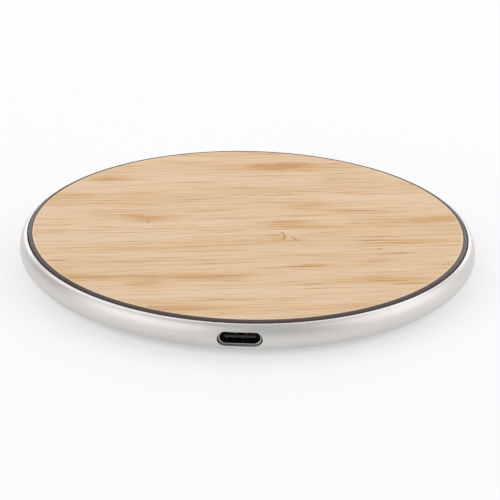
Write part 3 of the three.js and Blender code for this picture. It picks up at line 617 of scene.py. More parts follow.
side_z = np.concatenate([
    widest_z + lower_z * np.sin(np.linspace(-lower_sweep, 0.0, 22)),
    widest_z + upper_z * np.sin(np.linspace(0.0, upper_sweep, 18))[1:],
])
rim_side = np.stack([side_radius(side_z), side_z], axis=1)
low_wall_z = np.linspace(lip_top, ledge_under, 31)
high_wall_z = np.linspace(ledge_under, ledge_z, 9)
wall_z = np.concatenate([low_wall_z, high_wall_z[1:]])
low_wall = np.column_stack([np.full(31, wall_radius), low_wall_z[::-1]])
high_wall = np.column_stack([np.full(9, wall_radius), high_wall_z[::-1]])
ledge_face = np.column_stack([np.full(9, ledge_radius), high_wall_z[::-1]])
chamfer_foot = (edge_radius + 0.03 * MM, rim_top)
rim_recess = [
    chamfer_foot, (edge_radius, rim_top - 0.03 * MM), (edge_radius, ledge_z), (wall_radius, ledge_z),
]
rim_foot = [
    (wall_radius, lip_top), (lip_radius, lip_top), (lip_radius, flange_top), (seat_radius, flange_top),
    rim_side[0],
]

# The port's hole is found on rays from its middle to the edge of the pierced part of the side.
turn_steps = 2.0 * np.pi / AROUND * np.arange(-port_steps, port_steps + 1)
edge_turn, edge_z = loop_round(turn_steps, side_z).T
side_edge = np.stack([side_radius(edge_z) * np.sin(edge_turn), edge_z - port_z], axis=1)
rays = side_edge / np.linalg.norm(side_edge, axis=1)[:, None]
wall_turn, wall_edge_z = loop_round(turn_steps, wall_z).T
wall_edge = np.stack([wall_radius * np.sin(wall_turn), wall_edge_z - port_z], axis=1)


def port_outline(grow):
    """The port's outline with its sides moved out by a distance, as (x, height) from its middle."""
    return rays * stadium_reach(rays, port_straight, port_half + grow)[:, None]


def on_hoop(sheet, radius_at, depth=0.0):
    """Points of (x, height) from the port's middle put on one of the hoop's turned faces, whose
    radius r is a function of z: y = -sqrt(r(z)^2 - x^2), and a depth inwards."""
    x, z = sheet[..., 0], sheet[..., 1] + port_z
    return np.stack([x, depth - np.sqrt(radius_at(z) ** 2 - x**2), z], axis=-1)


def inside_radius(z):
    """The inner wall's radius, the same at every height."""
    return np.full_like(z, wall_radius)


lip = np.stack([
    on_hoop(port_outline(lip_round * (1 - math.sin(q))), side_radius, lip_round * (1 - math.cos(q)))
    for q in np.linspace(0.0, np.pi / 2, 7)
], axis=1)
hole = port_outline(0.0)
side_sheet = between(port_outline(lip_round), side_edge, np.linspace(0, 1, 12) ** 1.4)
past_port = (port_steps, AROUND - port_steps)
rim_sheets = [
    turned([rim_side[-1], chamfer_foot]),
    turned(rim_recess),
    turned(rim_side, *past_port),
    turned([high_wall[0], *ledge_face, high_wall[-1]], *past_port),
    turned(low_wall, *past_port),
    turned(rim_foot),
    on_hoop(side_sheet, side_radius),
    lip,
    between(lip[:, -1], on_hoop(hole, inside_radius), np.linspace(0, 1, 4)),
    on_hoop(between(hole, wall_edge, np.linspace(0, 1, 5)), inside_radius),
    *[np.stack([cut_at(s, ledge_face), cut_at(s, high_wall)]) for s in (port_steps, -port_steps)],
]


def mottled(name, dark, pale, rough, cloud, grain=None, depth=0.0, **inputs):
    """A material whose colour goes from dark to pale with a cloud of noise, and its roughness over
    a range with a finer grain, which may also stand out by a depth in metres. Cloud and grain are
    given as noise() takes them, and without a grain the cloud does for both."""
    material, shader, place = new_material(name, inputs)
    clouded = noise(place, *cloud)
    texture = noise(place, *grain) if grain else clouded
    shade = ramp(clouded, (0.3, dark), (0.7, pale))
    feed(shader, {"Base Color": shade, "Roughness": spread(texture, 0.3, 0.7, *rough)})
    if depth:
        bump(shader, texture, depth)
    return material


satin = mottled(
    "satin_aluminium", (0.655, 0.632, 0.614), (0.70, 0.682, 0.666), (0.40, 0.50),
    (45.0, 4.0, 0.55), (9000.0, 2.0, 0.6), 0.0018 * MM, Metallic=1.0,
)
bright_cut, shader, place = new_material(
    "bright_cut_aluminium", {"Base Color": (0.70, 0.69, 0.675), "Metallic": 1.0}
)
feed(shader, {"Roughness": spread(noise(place, 900.0), 0.3, 0.7, 0.24, 0.32)})
rim = build("metal_rim_hoop", rim_sheets, 25.0, [1] + [0] * (len(rim_sheets) - 1))
finish_piece(rim, [satin, bright_cut], "satin_aluminium", "metal_rim")

# ---- USB-C shell ----
# The receptacle's drawn steel shell, nickel plated: a flat tube with round sides, a rolled mouth
# and four legs soldered through the board.

shell_wall = 0.25 * MM
shell_mouth, shell_rear = shell_low[1], shell_high[1]
shell_straight = shell_half_width - shell_half_height


def stadium(straight, half, steps=16):
    """A closed outline of (x, height): two half circles of radius half, straight apart each way."""
    turn = np.linspace(-np.pi / 2, np.pi / 2, steps + 1)
    right = np.stack([straight + half * np.cos(turn), half * np.sin(turn)], axis=1)
    return np.vstack([right, -right, right[:1]])


def tube_sheet(wall_profile, straight):
    """A profile of (half height, y) points carried round a stadium about the port's middle: every
    outline point (x, height) of that half height stands at that y."""
    outlines = [(stadium(straight, half), y) for half, y in wall_profile]
    rings = [np.insert(outline, 1, y, axis=1) + (0.0, 0.0, port_z) for outline, y in outlines]
    return np.stack(rings, axis=1)


def cut_rectangle(half_x, half_y, cut):
    """A closed rectangle about its middle with its four corners cut."""
    x, y = half_x, half_y
    return np.array([
        (cut - x, -y), (x - cut, -y), (x, cut - y), (x, y - cut), (x - cut, y), (cut - x, y),
        (-x, y - cut), (-x, cut - y), (cut - x, -y),
    ])


def box_sheets(low, high, bevel):
    """A block with bevelled long edges along Z: a rectangle with cut corners, carried from the
    bottom to the top and drawn in to the middle there."""
    low, high = np.asarray(low, float), np.asarray(high, float)
    half = (high - low)[:2] / 2
    outline = cut_rectangle(*half, bevel)
    inset = outline * (1 - bevel / half)
    levels = [(0 * outline, low[2]), (inset, low[2]), (outline, low[2] + bevel),
              (outline, high[2] - bevel), (inset, high[2]), (0 * outline, high[2])]
    middle = (*(low + high)[:2] / 2, 0.0)
    return [np.stack([np.insert(o, 2, z, axis=1) + middle for o, z in levels], axis=1)]


steel = mottled(
    "nickel_plated_steel", (0.50, 0.49, 0.48), (0.64, 0.635, 0.625), (0.20, 0.34),
    (500.0, 3.0, 0.6), (1.0, 3.0, 0.6, (9000, 500, 9000)), 0.002 * MM, Metallic=1.0,
)
mouth_round = 0.5 * shell_wall
mouth = [
    (shell_half_height - mouth_round * (1 + math.cos(t)), shell_mouth + mouth_round * (1 - math.sin(t)))
    for t in np.linspace(np.pi, 0.0, 9)
]
behind_mouth = shell_mouth + 3.0 * MM
inner_half_height = shell_half_height - shell_wall
shell_profile = [
    (shell_half_height, shell_rear), (shell_half_height, behind_mouth), *mouth,
    (inner_half_height, behind_mouth), (inner_half_height, shell_rear), (shell_half_height, shell_rear),
]
legs = []
for side in (-1, 1):
    for leg_offset in (0.75 * MM, 3.1 * MM):
        leg_x = sorted((side * (shell_half_width - shell_wall), side * shell_half_width))
        leg_y = shell_rear - leg_offset + np.array((-0.5, 0.5)) * leg_width
        legs += box_sheets((leg_x[0], leg_y[0], shell_low[2]), (leg_x[1], leg_y[1], port_z), 0.06 * MM)
shell = build("usb_shell_tube", [tube_sheet(shell_profile, shell_straight), *legs], 35.0)
finish_piece(shell, [steel], "receptacle_steel", "usb_shell")

# ---- USB-C tongue and contacts ----
# The black nylon moulding that closes the shell's rear and carries the tongue. The tongue's tip is
# chamfered, and three gold-flashed contacts lie on each of its faces and reach back to the board.

nylon = moulded_plastic("receptacle_nylon", (0.012, 0.012, 0.013), 0.42, 0.12 * MM, 0.004 * MM)
tongue_half, tongue_thick = 6.69 / 2 * MM, 0.70 * MM
tongue_tip, block_front = housing_low[1], shell_rear - 1.9 * MM
block_half = housing_high[2] - port_z
block_straight = housing_high[0] - block_half


def slab(outline_profile):
    """A slab carried along Y: at each (y, half width, half height, corner) its cross-section is a
    rectangle with that corner cut, closed at both ends by drawing it in to its middle."""
    rows = [np.insert(cut_rectangle(*section), 1, y, axis=1) for y, *section in outline_profile]
    return np.stack([rows[0] * (0, 1, 0), *rows, rows[-1] * (0, 1, 0)], axis=1) + (0.0, 0.0, port_z)


tongue = slab([
    (tongue_tip, tongue_half - 0.45 * MM, 0.16 * MM, 0.03 * MM),
    (tongue_tip + 0.05 * MM, tongue_half - 0.35 * MM, 0.22 * MM, 0.05 * MM),
    (tongue_tip + 0.30 * MM, tongue_half - 0.06 * MM, tongue_thick / 2, 0.08 * MM),
    (tongue_tip + 0.55 * MM, tongue_half, tongue_thick / 2, 0.08 * MM),
    (block_front + 0.2 * MM, tongue_half, tongue_thick / 2, 0.08 * MM),
])
block_break = 0.08 * MM
block_profile = [
    (0.0, block_front), (block_half - block_break, block_front), (block_half, block_front + block_break),
    (block_half, shell_rear), (0.0, shell_rear),
]
block = tube_sheet(block_profile, block_straight)
block[:, 0, 0] = block[:, -1, 0] = 0.0
housing = build("usb_tongue_moulding", [tongue, block], 30.0)
finish_piece(housing, [nylon], "receptacle_resin", "usb_housing")

gold = mottled(
    "gold_flash", (0.60, 0.40, 0.17), (0.74, 0.53, 0.25), (0.34, 0.50),
    (2500.0, 3.0, 0.6), Metallic=1.0,
)


def carried(path, section, up=(0.0, 0.0, 1.0)):
    """A closed section of (across, above) points carried along a path of points: across lies along
    the path's direction x up, above at right angles to both, and each end is drawn in to the path."""
    path = np.asarray(path, float)
    along = np.gradient(path, axis=0)
    along /= np.linalg.norm(along, axis=1)[:, None]
    across = np.cross(along, np.broadcast_to(up, along.shape))
    across /= np.linalg.norm(across, axis=1)[:, None]
    above = np.cross(across, along)
    body = path[:, None] + section[..., :1] * across[:, None] + section[..., 1:] * above[:, None]
    ends = np.broadcast_to(path[[0, -1]][:, None, :], (2, body.shape[1], 3))
    return np.concatenate([ends[:1], body, ends[1:]])


contact_thickness = 0.12 * MM
for number in range(1, 7):
    low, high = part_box(f"usb_contact_{number}")
    upper = number <= 3
    x = (low[0] + high[0]) / 2
    lay_z = port_z + (1 if upper else -1) * (tongue_thick + contact_thickness) / 2
    foot_z = low[2] + contact_thickness / 2
    bend_y = high[1] - 0.7 * MM + contact_thickness / 2
    corners = [(low[1], lay_z), (bend_y, lay_z), (bend_y, foot_z), (high[1], foot_z)]
    side_view = rounded(corners, 0.16 * MM, 6, closed=False)
    run = np.column_stack([np.full(len(side_view), x), side_view])
    section = cut_rectangle((high[0] - low[0]) / 2, contact_thickness / 2, 0.2 * contact_thickness)
    strip = carried(run, section, up=(1.0, 0.0, 0.0))
    contact = build(f"usb_contact_strip_{number}", [strip], 30.0)
    finish_piece(contact, [gold], "contact_gold", f"usb_contact_{number}")

# ---- Circuit board ----
# A curved board of glass laminate under a green solder mask, with fine traces and plated holes. The
# posts' pins place it on the base's pads.


def coat(material, *names):
    """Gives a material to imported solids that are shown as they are."""
    for name in names:
        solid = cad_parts[name]
        if not solid.material_slots:
            solid.data.materials.append(material)
        for held in solid.material_slots:
            held.material = material


def combine(way, first, second=0.0):
    """Two values put together by a Math node's operation."""
    node = first.id_data.nodes.new("ShaderNodeMath")
    node.operation = way
    return feed(node, {0: first, 1: second}).outputs[0]


def ticks(source, pitch, share):
    """Parallel lines at a pitch in metres across a coordinate, each taking up a share of it."""
    wave = combine("PINGPONG", combine("MULTIPLY", source, 1.0 / pitch), 0.5)
    return spread(wave, share / 2 + 0.04, share / 2 - 0.04)


laminate, shader, place = new_material("green_laminate", {})
apart = add_node(place.id_data, "SeparateXYZ", {"Vector": place}).outputs
patches = noise(place, 170.0, 1.0, 0.4)
traces = mix_colour(
    spread(patches, 0.49, 0.50), ticks(apart["X"], 0.7 * MM, 0.4), ticks(apart["Y"], 0.6 * MM, 0.4)
)
traces = combine("MULTIPLY", traces, spread(noise(place, 420.0, 1.0, 0.4), 0.47, 0.49))
holes = add_node(place.id_data, "TexVoronoi", {"Vector": place, "Scale": 300.0})
plated = spread(holes.outputs["Distance"], 0.085, 0.075)
mask = mix_colour(traces, (0.010, 0.070, 0.034), (0.022, 0.135, 0.062))
feed(shader, {
    "Base Color": mix_colour(plated, mask, (0.72, 0.56, 0.30)),
    "Roughness": spread(patches, 0.3, 0.7, 0.26, 0.38),
})
bump(shader, traces, 0.03 * MM)
coat(laminate, "circuit_board")

# ---- Parts on the board ----
# Surface-mounted parts in black resin, ceramic and ferrite with tinned ends or lands, soldered to
# the board's top: the controller, its bridge, the resonant bank and what feeds and guards them.
tin = mottled(
    "tinned_ends", (0.60, 0.60, 0.59), (0.76, 0.755, 0.74), (0.22, 0.42),
    (1800.0, 4.0, 0.6), Metallic=1.0,
)
resin = moulded_plastic("chip_resin", (0.018, 0.018, 0.019), 0.58, 0.09 * MM, 0.004 * MM, 1.7)
ceramic_brown = moulded_plastic("capacitor_ceramic", (0.37, 0.225, 0.125), 0.42, 0.12 * MM, 0.002 * MM, 1.15)
ceramic_white = moulded_plastic("sensor_ceramic", (0.62, 0.61, 0.57), 0.40, 0.12 * MM, 0.002 * MM, 1.1)
inductor_grey = moulded_plastic("inductor_ferrite", (0.075, 0.075, 0.078), 0.60, 0.20 * MM, 0.008 * MM, 1.5)


def corners_of(node):
    """The low and high corner of a solid's box."""
    return [np.array(corner, float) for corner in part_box(node)]


def stretch_of(low, high, axis, start, end):
    """A box cut down along one axis to the stretch from start to end."""
    low, high = low.copy(), high.copy()
    low[axis], high[axis] = start, end
    return low, high


def capped_part(node, material, slot, cap, inset=0.03 * MM):
    """A part with a tinned cap on each end of its longer side, and a body a little smaller."""
    low, high = corners_of(node)
    along = int(np.argmax((high - low)[:2]))
    ends = (low[along], low[along] + cap, high[along] - cap, high[along])
    sheets = box_sheets(*stretch_of(low + inset, high - inset, along, *ends[1:3]), 0.02 * MM)
    for end in (ends[:2], ends[2:]):
        sheets += box_sheets(*stretch_of(low, high, along, *end), 0.06 * MM)
    finish_piece(build(f"{node}_body", sheets, 30.0, [0, 1, 1]), [material, tin], slot, node)


def leadless_chip(node, lands, sides):
    """A flat resin chip with a row of tinned lands along the foot of each of its sides."""
    low, high = corners_of(node)
    flush, land_length, land_half, land_height = 0.04 * MM, 0.4 * MM, 0.12 * MM, 0.2 * MM
    sheets = box_sheets(low + (flush, flush, flush / 2), high - (flush, flush, 0.0), 0.08 * MM)
    pitch = (high - low)[:2] / (lands + 1)
    for axis in sides:
        for number in range(1, lands + 1):
            middle = low[1 - axis] + number * pitch[1 - axis]
            for near in (low[axis], high[axis] - land_length):
                land = stretch_of(low, high, axis, near, near + land_length)
                land = stretch_of(*land, 1 - axis, middle - land_half, middle + land_half)
                sheets += box_sheets(*stretch_of(*land, 2, low[2], low[2] + land_height), 0.02 * MM)
    chip = build(f"{node}_package", sheets, 30.0, [0] + [1] * (len(sheets) - 1))
    finish_piece(chip, [resin, tin], "chip_resin", node)


leadless_chip("controller_chip", 8, (0, 1))
for number in range(1, 5):
    leadless_chip(f"bridge_transistor_{number}", 4, (0,))
    capped_part(f"resonant_capacitor_{number}", ceramic_brown, "capacitor_ceramic", 0.5 * MM)
for number in (1, 2):
    capped_part(f"input_capacitor_{number}", ceramic_brown, "capacitor_ceramic", 0.5 * MM)
capped_part("current_shunt", resin, "chip_resin", 1.1 * MM)
capped_part("temperature_sensor", ceramic_white, "sensor_ceramic", 0.25 * MM, 0.02 * MM)


def leaded_resin(node, body_half):
    """Chip resin on a solid, with bare tin where it is past its body's half depth: its leads."""
    material, shader, place = new_material(f"{node}_resin", {})
    low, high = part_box(node)
    across = add_node(place.id_data, "SeparateXYZ", {"Vector": place}).outputs["Y"]
    off = combine("ABSOLUTE", combine("SUBTRACT", across, (low[1] + high[1]) / 2))
    lead = combine("GREATER_THAN", off, body_half)
    speckle = noise(place, 11000.0, 3.0, 0.6)
    black = ramp(speckle, (0.3, (0.016, 0.016, 0.017)), (0.7, (0.030, 0.030, 0.031)))
    feed(shader, {
        "Base Color": mix_colour(lead, black, (0.68, 0.675, 0.66)),
        "Metallic": lead,
        "Roughness": spread(lead, 0.0, 1.0, 0.58, 0.32),
    })
    bump(shader, speckle, 0.004 * MM)
    coat(material, node)


leaded_resin("protocol_chip", 1.96 * MM)
leaded_resin("voltage_regulator", 0.81 * MM)
coat(inductor_grey, "power_inductor")

# ---- Case screws ----
# Four small self-tapping screws of zinc-plated steel with cross-recessed pan heads. They go up
# through the base's wells into the tray's bosses, and the anti-slip ring hides their heads.

zinc = mottled(
    "zinc_plated_steel", (0.50, 0.51, 0.53), (0.66, 0.67, 0.68), (0.22, 0.36),
    (2200.0, 4.0, 0.6), Metallic=1.0,
)
head_radius, head_height, thread_pitch = 1.9 * MM, 0.8 * MM, 0.55 * MM
thread_radius, core_radius, tip_length = 1.0 * MM, 0.72 * MM, 0.6 * MM
cross_arm, cross_half, cross_depth = 1.05 * MM, 0.27 * MM, 0.5 * MM
corner = math.atan2(cross_half, cross_arm)
one_arm = np.concatenate([
    np.linspace(-corner, corner, 5),
    np.linspace(corner, np.pi / 2 - corner, 7)[1:-1],
])
screw_turn = np.append((one_arm + np.arange(4)[:, None] * np.pi / 2).ravel(), 2 * np.pi - corner)


def cross_reach(scale):
    """How far each ray runs inside the cross: the farther of its reaches in the two bars, each the
    nearer of arm / |along| and half / |across|."""
    along, across = np.abs(np.cos(screw_turn)), np.abs(np.sin(screw_turn)) + 1e-12
    lying = np.minimum(cross_arm / (along + 1e-12), cross_half / across)
    standing = np.minimum(cross_half / (along + 1e-12), cross_arm / across)
    return scale * np.maximum(lying, standing)


for number in range(1, 5):
    low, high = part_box(f"case_screw_{number}")
    face, seat, tip = low[2], low[2] + head_height, high[2]
    thread_z = np.linspace(seat, tip - tip_length, 46)[1:]
    tip_z = np.linspace(tip - tip_length, tip, 8)[1:]
    every_z = np.concatenate([thread_z, tip_z])
    wind = every_z[:, None] / thread_pitch - screw_turn[None, :] / (2 * np.pi)
    ridge = np.clip(1.5 - 3.0 * np.abs(wind - np.floor(wind) - 0.5), 0.0, 1.0)
    narrowing = np.clip((tip - every_z) / tip_length, 0.0, 1.0)[:, None] ** 0.7
    thread = (core_radius + (thread_radius - core_radius) * ridge) * narrowing
    head = [
        (0.0, face + cross_depth), (cross_reach(0.6), face + cross_depth), (cross_reach(1.0), face),
        (0.74 * head_radius, face), (0.90 * head_radius, face + 0.10 * MM),
        (0.98 * head_radius, face + 0.28 * MM), (head_radius, face + 0.45 * MM),
        (head_radius, seat - 0.04 * MM), (head_radius - 0.04 * MM, seat), (core_radius, seat),
    ]
    radii = np.stack([np.broadcast_to(r, screw_turn.shape) for r, _ in head] + list(thread), axis=1)
    heights = np.concatenate([[z for _, z in head], every_z])
    x = (low[0] + high[0]) / 2 + radii * np.cos(screw_turn)[:, None]
    y = (low[1] + high[1]) / 2 + radii * np.sin(screw_turn)[:, None]
    sheet = np.stack([x, y, np.broadcast_to(heights, radii.shape)], axis=-1)
    screw = build(f"case_screw_turned_{number}", [sheet], 35.0)
    finish_piece(screw, [zinc], "screw_steel", f"case_screw_{number}")

# ---- Foam and ferrite ----
# A pad of black closed-cell foam presses the coil up against the tray. Between them lies a thin
# plate of sintered ferrite, slotted for the coil's inner lead, which keeps the field off the board.

foam_black, shader, place = new_material("closed_cell_foam", {"Roughness": 0.95, "Sheen Weight": 0.2})
shade = noise(place, 300.0, 3.0, 0.6)
cells = add_node(place.id_data, "TexVoronoi", {"Vector": place, "Scale": 2600.0})
feed(shader, {"Base Color": ramp(shade, (0.3, (0.030, 0.030, 0.032)), (0.7, (0.055, 0.055, 0.057)))})
bump(shader, cells.outputs["Distance"], 0.08 * MM)
coat(foam_black, "foam_pad")

ferrite = mottled(
    "sintered_ferrite", (0.045, 0.044, 0.046), (0.078, 0.076, 0.078), (0.38, 0.60),
    (120.0, 4.0, 0.6), (5200.0, 3.0, 0.65), 0.008 * MM,
)
coat(ferrite, "ferrite_plate")

# ---- Transmitter coil ----
# One flat spiral of copper litz wire, its enamelled strands twisted in bundles, stuck to the ferrite
# and to the tray with rings of adhesive film. Its two ends go down to the board as leads.

enamelled = mottled(
    "enamelled_copper_litz", (0.58, 0.235, 0.095), (0.74, 0.335, 0.150), (0.26, 0.44),
    (220.0, 3.0, 0.6), (5200.0, 2.0, 0.6), 0.02 * MM,
    **{"Metallic": 0.85, "Coat Weight": 0.35, "Coat Roughness": 0.2},
)


def paced(path, pace):
    """The same path with its points an even pace apart along it, and how far along each is."""
    path = np.asarray(path, float)
    walked = np.concatenate([[0.0], np.cumsum(np.linalg.norm(np.diff(path, axis=0), axis=1))])
    at = np.linspace(0.0, walked[-1], max(2, round(walked[-1] / pace)) + 1)
    return np.stack([np.interp(at, walked, path[:, axis]) for axis in range(3)], axis=1), at


def litz(path, pace, half_width, half_height, lay, up=(0.0, 0.0, 1.0), bundles=5):
    """Twisted wire along a path: the section is an ellipse whose edge is drawn in to nine tenths
    between its bundles, as 0.9 + 0.1 |cos(bundles (a - twist) / 2)|, turning once in each lay."""
    path, at = paced(path, pace)
    around = np.linspace(0.0, 2.0 * np.pi, 4 * bundles + 1)[None, :]
    twist = (2.0 * np.pi / lay * at)[:, None]
    reach = 0.9 + 0.1 * np.abs(np.cos(bundles * (around - twist) / 2))
    section = np.stack([half_width * np.cos(around), half_height * np.sin(around)], axis=-1)
    return carried(path, reach[..., None] * section, up)


coil_inner, coil_outer, coil_turns = 10.25 * MM, coil_high[0], 9
coil_z, coil_half = (coil_low[2] + coil_high[2]) / 2, (coil_high[2] - coil_low[2]) / 2
lead_x = 2.2 * MM
first_r, last_r = coil_inner + coil_half, coil_outer - coil_half
first_turn = -math.asin(lead_x / first_r)
last_turn = 2 * math.pi * coil_turns + math.asin(lead_x / last_r)
turn = np.linspace(first_turn, last_turn, 1400)
radius = np.linspace(first_r, last_r, 1400)
spiral = np.stack([radius * np.sin(turn), -radius * np.cos(turn), np.full_like(turn, coil_z)], axis=1)
turn_pitch = (last_r - first_r) * 2 * math.pi / (last_turn - first_turn)
strand = litz(spiral, 0.62 * MM, min(coil_half, 0.49 * turn_pitch), 0.99 * coil_half, 6.0 * MM)
finish_piece(build("litz_spiral", [strand], 50.0), [enamelled], "copper_wire", "transmitter_coil")

lead_half = 0.45 * MM
ferrite_low, ferrite_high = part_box("ferrite_plate")
for name in ("coil_lead_inner", "coil_lead_outer"):
    low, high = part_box(name)
    x, end_y = (low[0] + high[0]) / 2, low[1]
    pad_z = board_high[2] + lead_half + 0.1 * MM
    over_board = (end_y + 2.4 * MM, pad_z)
    if name == "coil_lead_inner":
        slot_z = (ferrite_low[2] + ferrite_high[2]) / 2
        start_y = high[1] - lead_half
        corners = [(start_y, high[2]), (start_y, slot_z), (ferrite_low[1], slot_z), over_board]
    else:
        corners = [(high[1], coil_z), (ferrite_low[1], coil_z), over_board]
    side_view = rounded([*corners, (end_y, pad_z)], 0.9 * MM, 8, closed=False)
    lead_path = np.column_stack([np.full(len(side_view), x), side_view])
    strand = litz(lead_path, 0.22 * MM, lead_half, lead_half, 4.0 * MM, up=(1.0, 0.0, 0.0))
    lead = build(f"{name}_litz", [strand], 50.0)
    finish_piece(lead, [enamelled], "copper_wire", name)

film = mottled(
    "adhesive_film", (0.66, 0.63, 0.55), (0.74, 0.715, 0.645), (0.30, 0.48),
    (160.0, 3.0, 0.55), depth=0.02 * MM,
)
coat(film, "coil_tape", "ferrite_tape", "disc_adhesive")

# ---- Bamboo disc ----
# A thin disc of pressed bamboo, its strips and fibres running across the pad, sanded matt, with
# the brown smears and small scars of the culm's nodes here and there.

disc_radius, disc_bottom, disc_top = disc_high[0], disc_low[2], disc_high[2]
disc_profile = np.vstack([
    [(0.0, disc_bottom)],
    rounded(
        [(0.0, disc_bottom), (disc_radius, disc_bottom), (disc_radius, disc_top), (0.0, disc_top)],
        [0.0, 0.05 * MM, 0.15 * MM, 0.0],
        6,
        closed=False,
    )[1:-1],
    [(0.5 * disc_radius, disc_top), (0.0, disc_top)],
])
bamboo, shader, place = new_material("pressed_bamboo", {"Specular IOR Level": 0.3})
grain_turn = math.radians(7.5)
in_mm = add_node(place.id_data, "Mapping", {
    "Vector": place,
    "Scale": (1000.0, 1000.0, 1000.0),
    "Rotation": (0.0, 0.0, -grain_turn),
}).outputs["Vector"]
drift = bamboo.node_tree.nodes.new("ShaderNodeVectorMath")
drift.operation = "MULTIPLY_ADD"
drift_noise = noise(in_mm, 1.0, 1.0, 0.5, (0.016, 0.03, 1))
along_grain = feed(drift, {0: drift_noise, 1: (0.0, 3.2, 0.0), 2: in_mm}).outputs["Vector"]


def weigh(source, gain, onto):
    """source x gain + onto, for values of the bamboo's pattern."""
    return combine("ADD", combine("MULTIPLY", source, gain), onto)


def in_grain(x, y):
    """A place on the pad in mm, turned into the grain's own axes."""
    c, s = math.cos(grain_turn), math.sin(grain_turn)
    return (x * c + y * s, y * c - x * s, 0.0)


def scar(middle, half):
    """Coordinates centred on a place in the grain and divided by a half length and half width, with
    their distance from the middle: 1 on the ellipse's edge."""
    centred = bamboo.node_tree.nodes.new("ShaderNodeMapping")
    centred.vector_type = "TEXTURE"
    feed(centred, {"Vector": in_mm, "Location": in_grain(*middle), "Scale": (*half, 1000.0)})
    reach = bamboo.node_tree.nodes.new("ShaderNodeVectorMath")
    reach.operation = "LENGTH"
    feed(reach, {0: centred.outputs["Vector"]})
    return centred.outputs["Vector"], reach.outputs["Value"]


broad = noise(along_grain, 1.0, 1.0, 0.5, (0.010, 0.11, 1))
strips = noise(along_grain, 1.0, 2.0, 0.5, (0.015, 0.33, 1))
streaks = noise(along_grain, 1.0, 2.0, 0.55, (0.030, 1.25, 1))
hairs = noise(along_grain, 1.0, 2.0, 0.55, (0.055, 3.0, 1))
fibres = noise(along_grain, 1.0, 2.0, 0.6, (0.06, 4.0, 1))
ragged = noise(along_grain, 1.0, 3.0, 0.6, (0.14, 2.9, 1))

tone = weigh(broad, 0.80, 0.055)
tone = weigh(strips, 0.22, tone)
tone = weigh(spread(streaks, 0.48, 0.66), -0.22, tone)
tone = weigh(spread(hairs, 0.54, 0.64), -0.46, tone)
tone = weigh(spread(fibres, 0.35, 0.65), 0.16, tone)
tone = weigh(spread(ragged, 0.57, 0.67), -0.24, tone)

# The culm's nodes leave soft brown smears: (place in mm, half length and half width, strength).
smears = [
    ((-21.5, 4.4), (10.5, 3.2), 0.34), ((-22.4, 3.6), (4.2, 2.2), 0.30),
    ((6.8, 38.2), (9.0, 3.4), 0.46), ((3.0, 37.0), (22.0, 3.4), 0.26), ((6.7, 40.2), (1.5, 0.7), 0.50),
    ((9.1, 38.1), (2.2, 1.0), 0.52), ((4.9, 36.3), (3.0, 1.1), 0.48), ((2.2, 38.4), (3.0, 0.6), 0.36),
    ((12.8, 36.0), (3.6, 0.7), 0.42), ((10.9, 40.6), (2.0, 0.6), 0.32),
    ((14.0, 15.0), (7.5, 3.2), 0.36), ((8.0, 4.2), (8.0, 1.8), 0.42), ((10.0, 1.9), (8.5, 1.3), 0.30),
    ((6.0, -4.0), (4.6, 1.9), 0.20), ((6.4, -3.1), (1.7, 0.45), 0.50), ((7.0, -5.4), (2.0, 0.5), 0.45),
    ((14.4, -19.2), (5.2, 1.1), 0.66), ((-20.0, -31.6), (6.2, 3.4), 0.30),
    ((-31.0, -28.8), (13.5, 1.6), 0.36), ((-39.5, -27.4), (7.5, 2.6), 0.16),
    ((42.5, 9.0), (8.5, 2.0), 0.52), ((34.0, 7.2), (14.0, 3.0), 0.32), ((38.0, -4.3), (13.5, 1.8), 0.28),
    ((-39.0, 16.3), (8.5, 2.0), 0.42), ((-33.0, 27.5), (6.5, 3.6), 0.42),
    ((28.0, -26.0), (14.0, 1.6), 0.24), ((-14.0, -43.0), (12.0, 1.8), 0.45),
    ((-25.0, 18.5), (9.0, 2.4), 0.30), ((-8.0, -26.5), (16.0, 1.8), 0.30),
]
smear_sum = 0.0
for middle, half, strength in smears:
    _, reach = scar(middle, half)
    frayed = weigh(ragged, 2.0, combine("SUBTRACT", reach, 1.07))
    smear_sum = weigh(spread(frayed, 1.05, 0.0), strength, smear_sum)
tone = weigh(smear_sum, -0.62, tone)

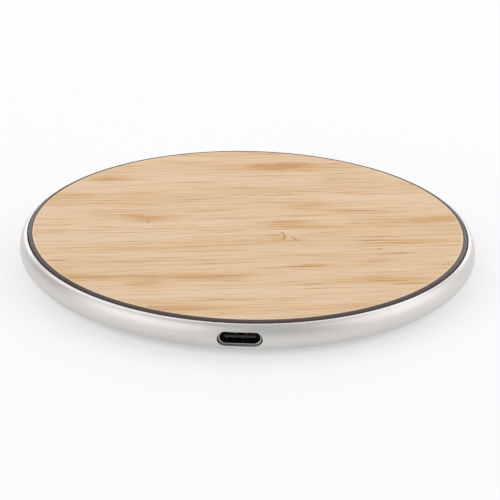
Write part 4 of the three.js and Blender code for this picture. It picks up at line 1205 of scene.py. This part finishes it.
# Small curved scars where a bundle of fibres turned outwards: a part of an ellipse's edge, given by
# (middle, half width and height, which side, how far down, stroke, strength).
curls = [
    ((7.35, -3.5), (0.75, 1.9), 1, 0, 0.42, 0.62), ((11.4, -3.35), (1.6, 2.7), -1, -1, 0.17, 0.60),
    ((-21.5, 3.2), (0.8, 1.5), -1, 0, 0.25, 0.24), ((8.2, 39.2), (1.0, 1.2), -1, 0, 0.22, 0.35),
    ((14.0, 15.0), (1.5, 2.7), 0, 0, 0.16, 0.10), ((6.9, 3.2), (2.6, 1.9), 1, 0, 0.10, 0.16),
    ((29.0, -11.0), (0.9, 1.5), 0, 0, 0.20, 0.16), ((-19.4, -31.6), (1.2, 1.9), 1, 0, 0.18, 0.20),
]
for middle, half, side, down, stroke, strength in curls:
    spot, reach = scar(middle, half)
    off_edge = combine("ABSOLUTE", combine("SUBTRACT", reach, 1.0))
    mark = spread(off_edge, stroke, 0.0, 0.0, strength)
    apart = add_node(spot.id_data, "SeparateXYZ", {"Vector": spot}).outputs
    for axis, way in (("X", side), ("Y", down)):
        if way:
            keep = combine("MULTIPLY", apart[axis], way)
            mark = combine("MULTIPLY", mark, spread(keep, -0.1, 0.35))
    tone = weigh(mark, -1.0, tone)

# Pips are the cut ends of single fibre bundles.
pips = [
    ((28.7, -9.3), (0.75, 0.42), 0.9), ((-22.2, 2.0), (0.36, 0.80), 0.8), ((-46.2, -7.1), (0.45, 0.4), 0.6),
    ((-18.6, -42.3), (0.5, 0.35), 0.6), ((13.0, -19.0), (1.3, 0.30), 0.5), ((20.6, -15.0), (0.3, 0.3), 0.3),
]
for middle, half, strength in pips:
    _, reach = scar(middle, half)
    tone = weigh(spread(reach, 1.0, 0.3), -strength, tone)

colour = ramp(
    tone, (0.00, (0.42, 0.200, 0.068)), (0.24, (0.630, 0.360, 0.150)), (0.45, (0.705, 0.477, 0.258)),
    (0.62, (0.725, 0.532, 0.340)), (0.85, (0.755, 0.575, 0.400)),
)
blush = noise(along_grain, 1.0, 2.0, 0.5, (0.022, 0.30, 3))
colour = mix_colour(spread(blush, 0.50, 0.72, 0.0, 0.45), colour, (0.81, 0.555, 0.385))
amber = spread(smear_sum, 0.0, 0.70, 0.0, 0.70)
colour = mix_colour(amber, colour, (0.60, 0.325, 0.125))
_, from_middle = scar((0.0, 0.0), (disc_radius / MM, disc_radius / MM))
edge_line = spread(from_middle, 0.990, 0.995, 0.0, 0.5)
feed(shader, {
    "Base Color": mix_colour(edge_line, colour, (0.84, 0.68, 0.50)),
    "Roughness": spread(fibres, 0.3, 0.7, 0.52, 0.62),
})
bump(shader, weigh(streaks, -0.5, fibres), 0.02 * MM)
finish_piece(build("bamboo_top", [turned(disc_profile)]), [bamboo], "bamboo", "bamboo_disc")
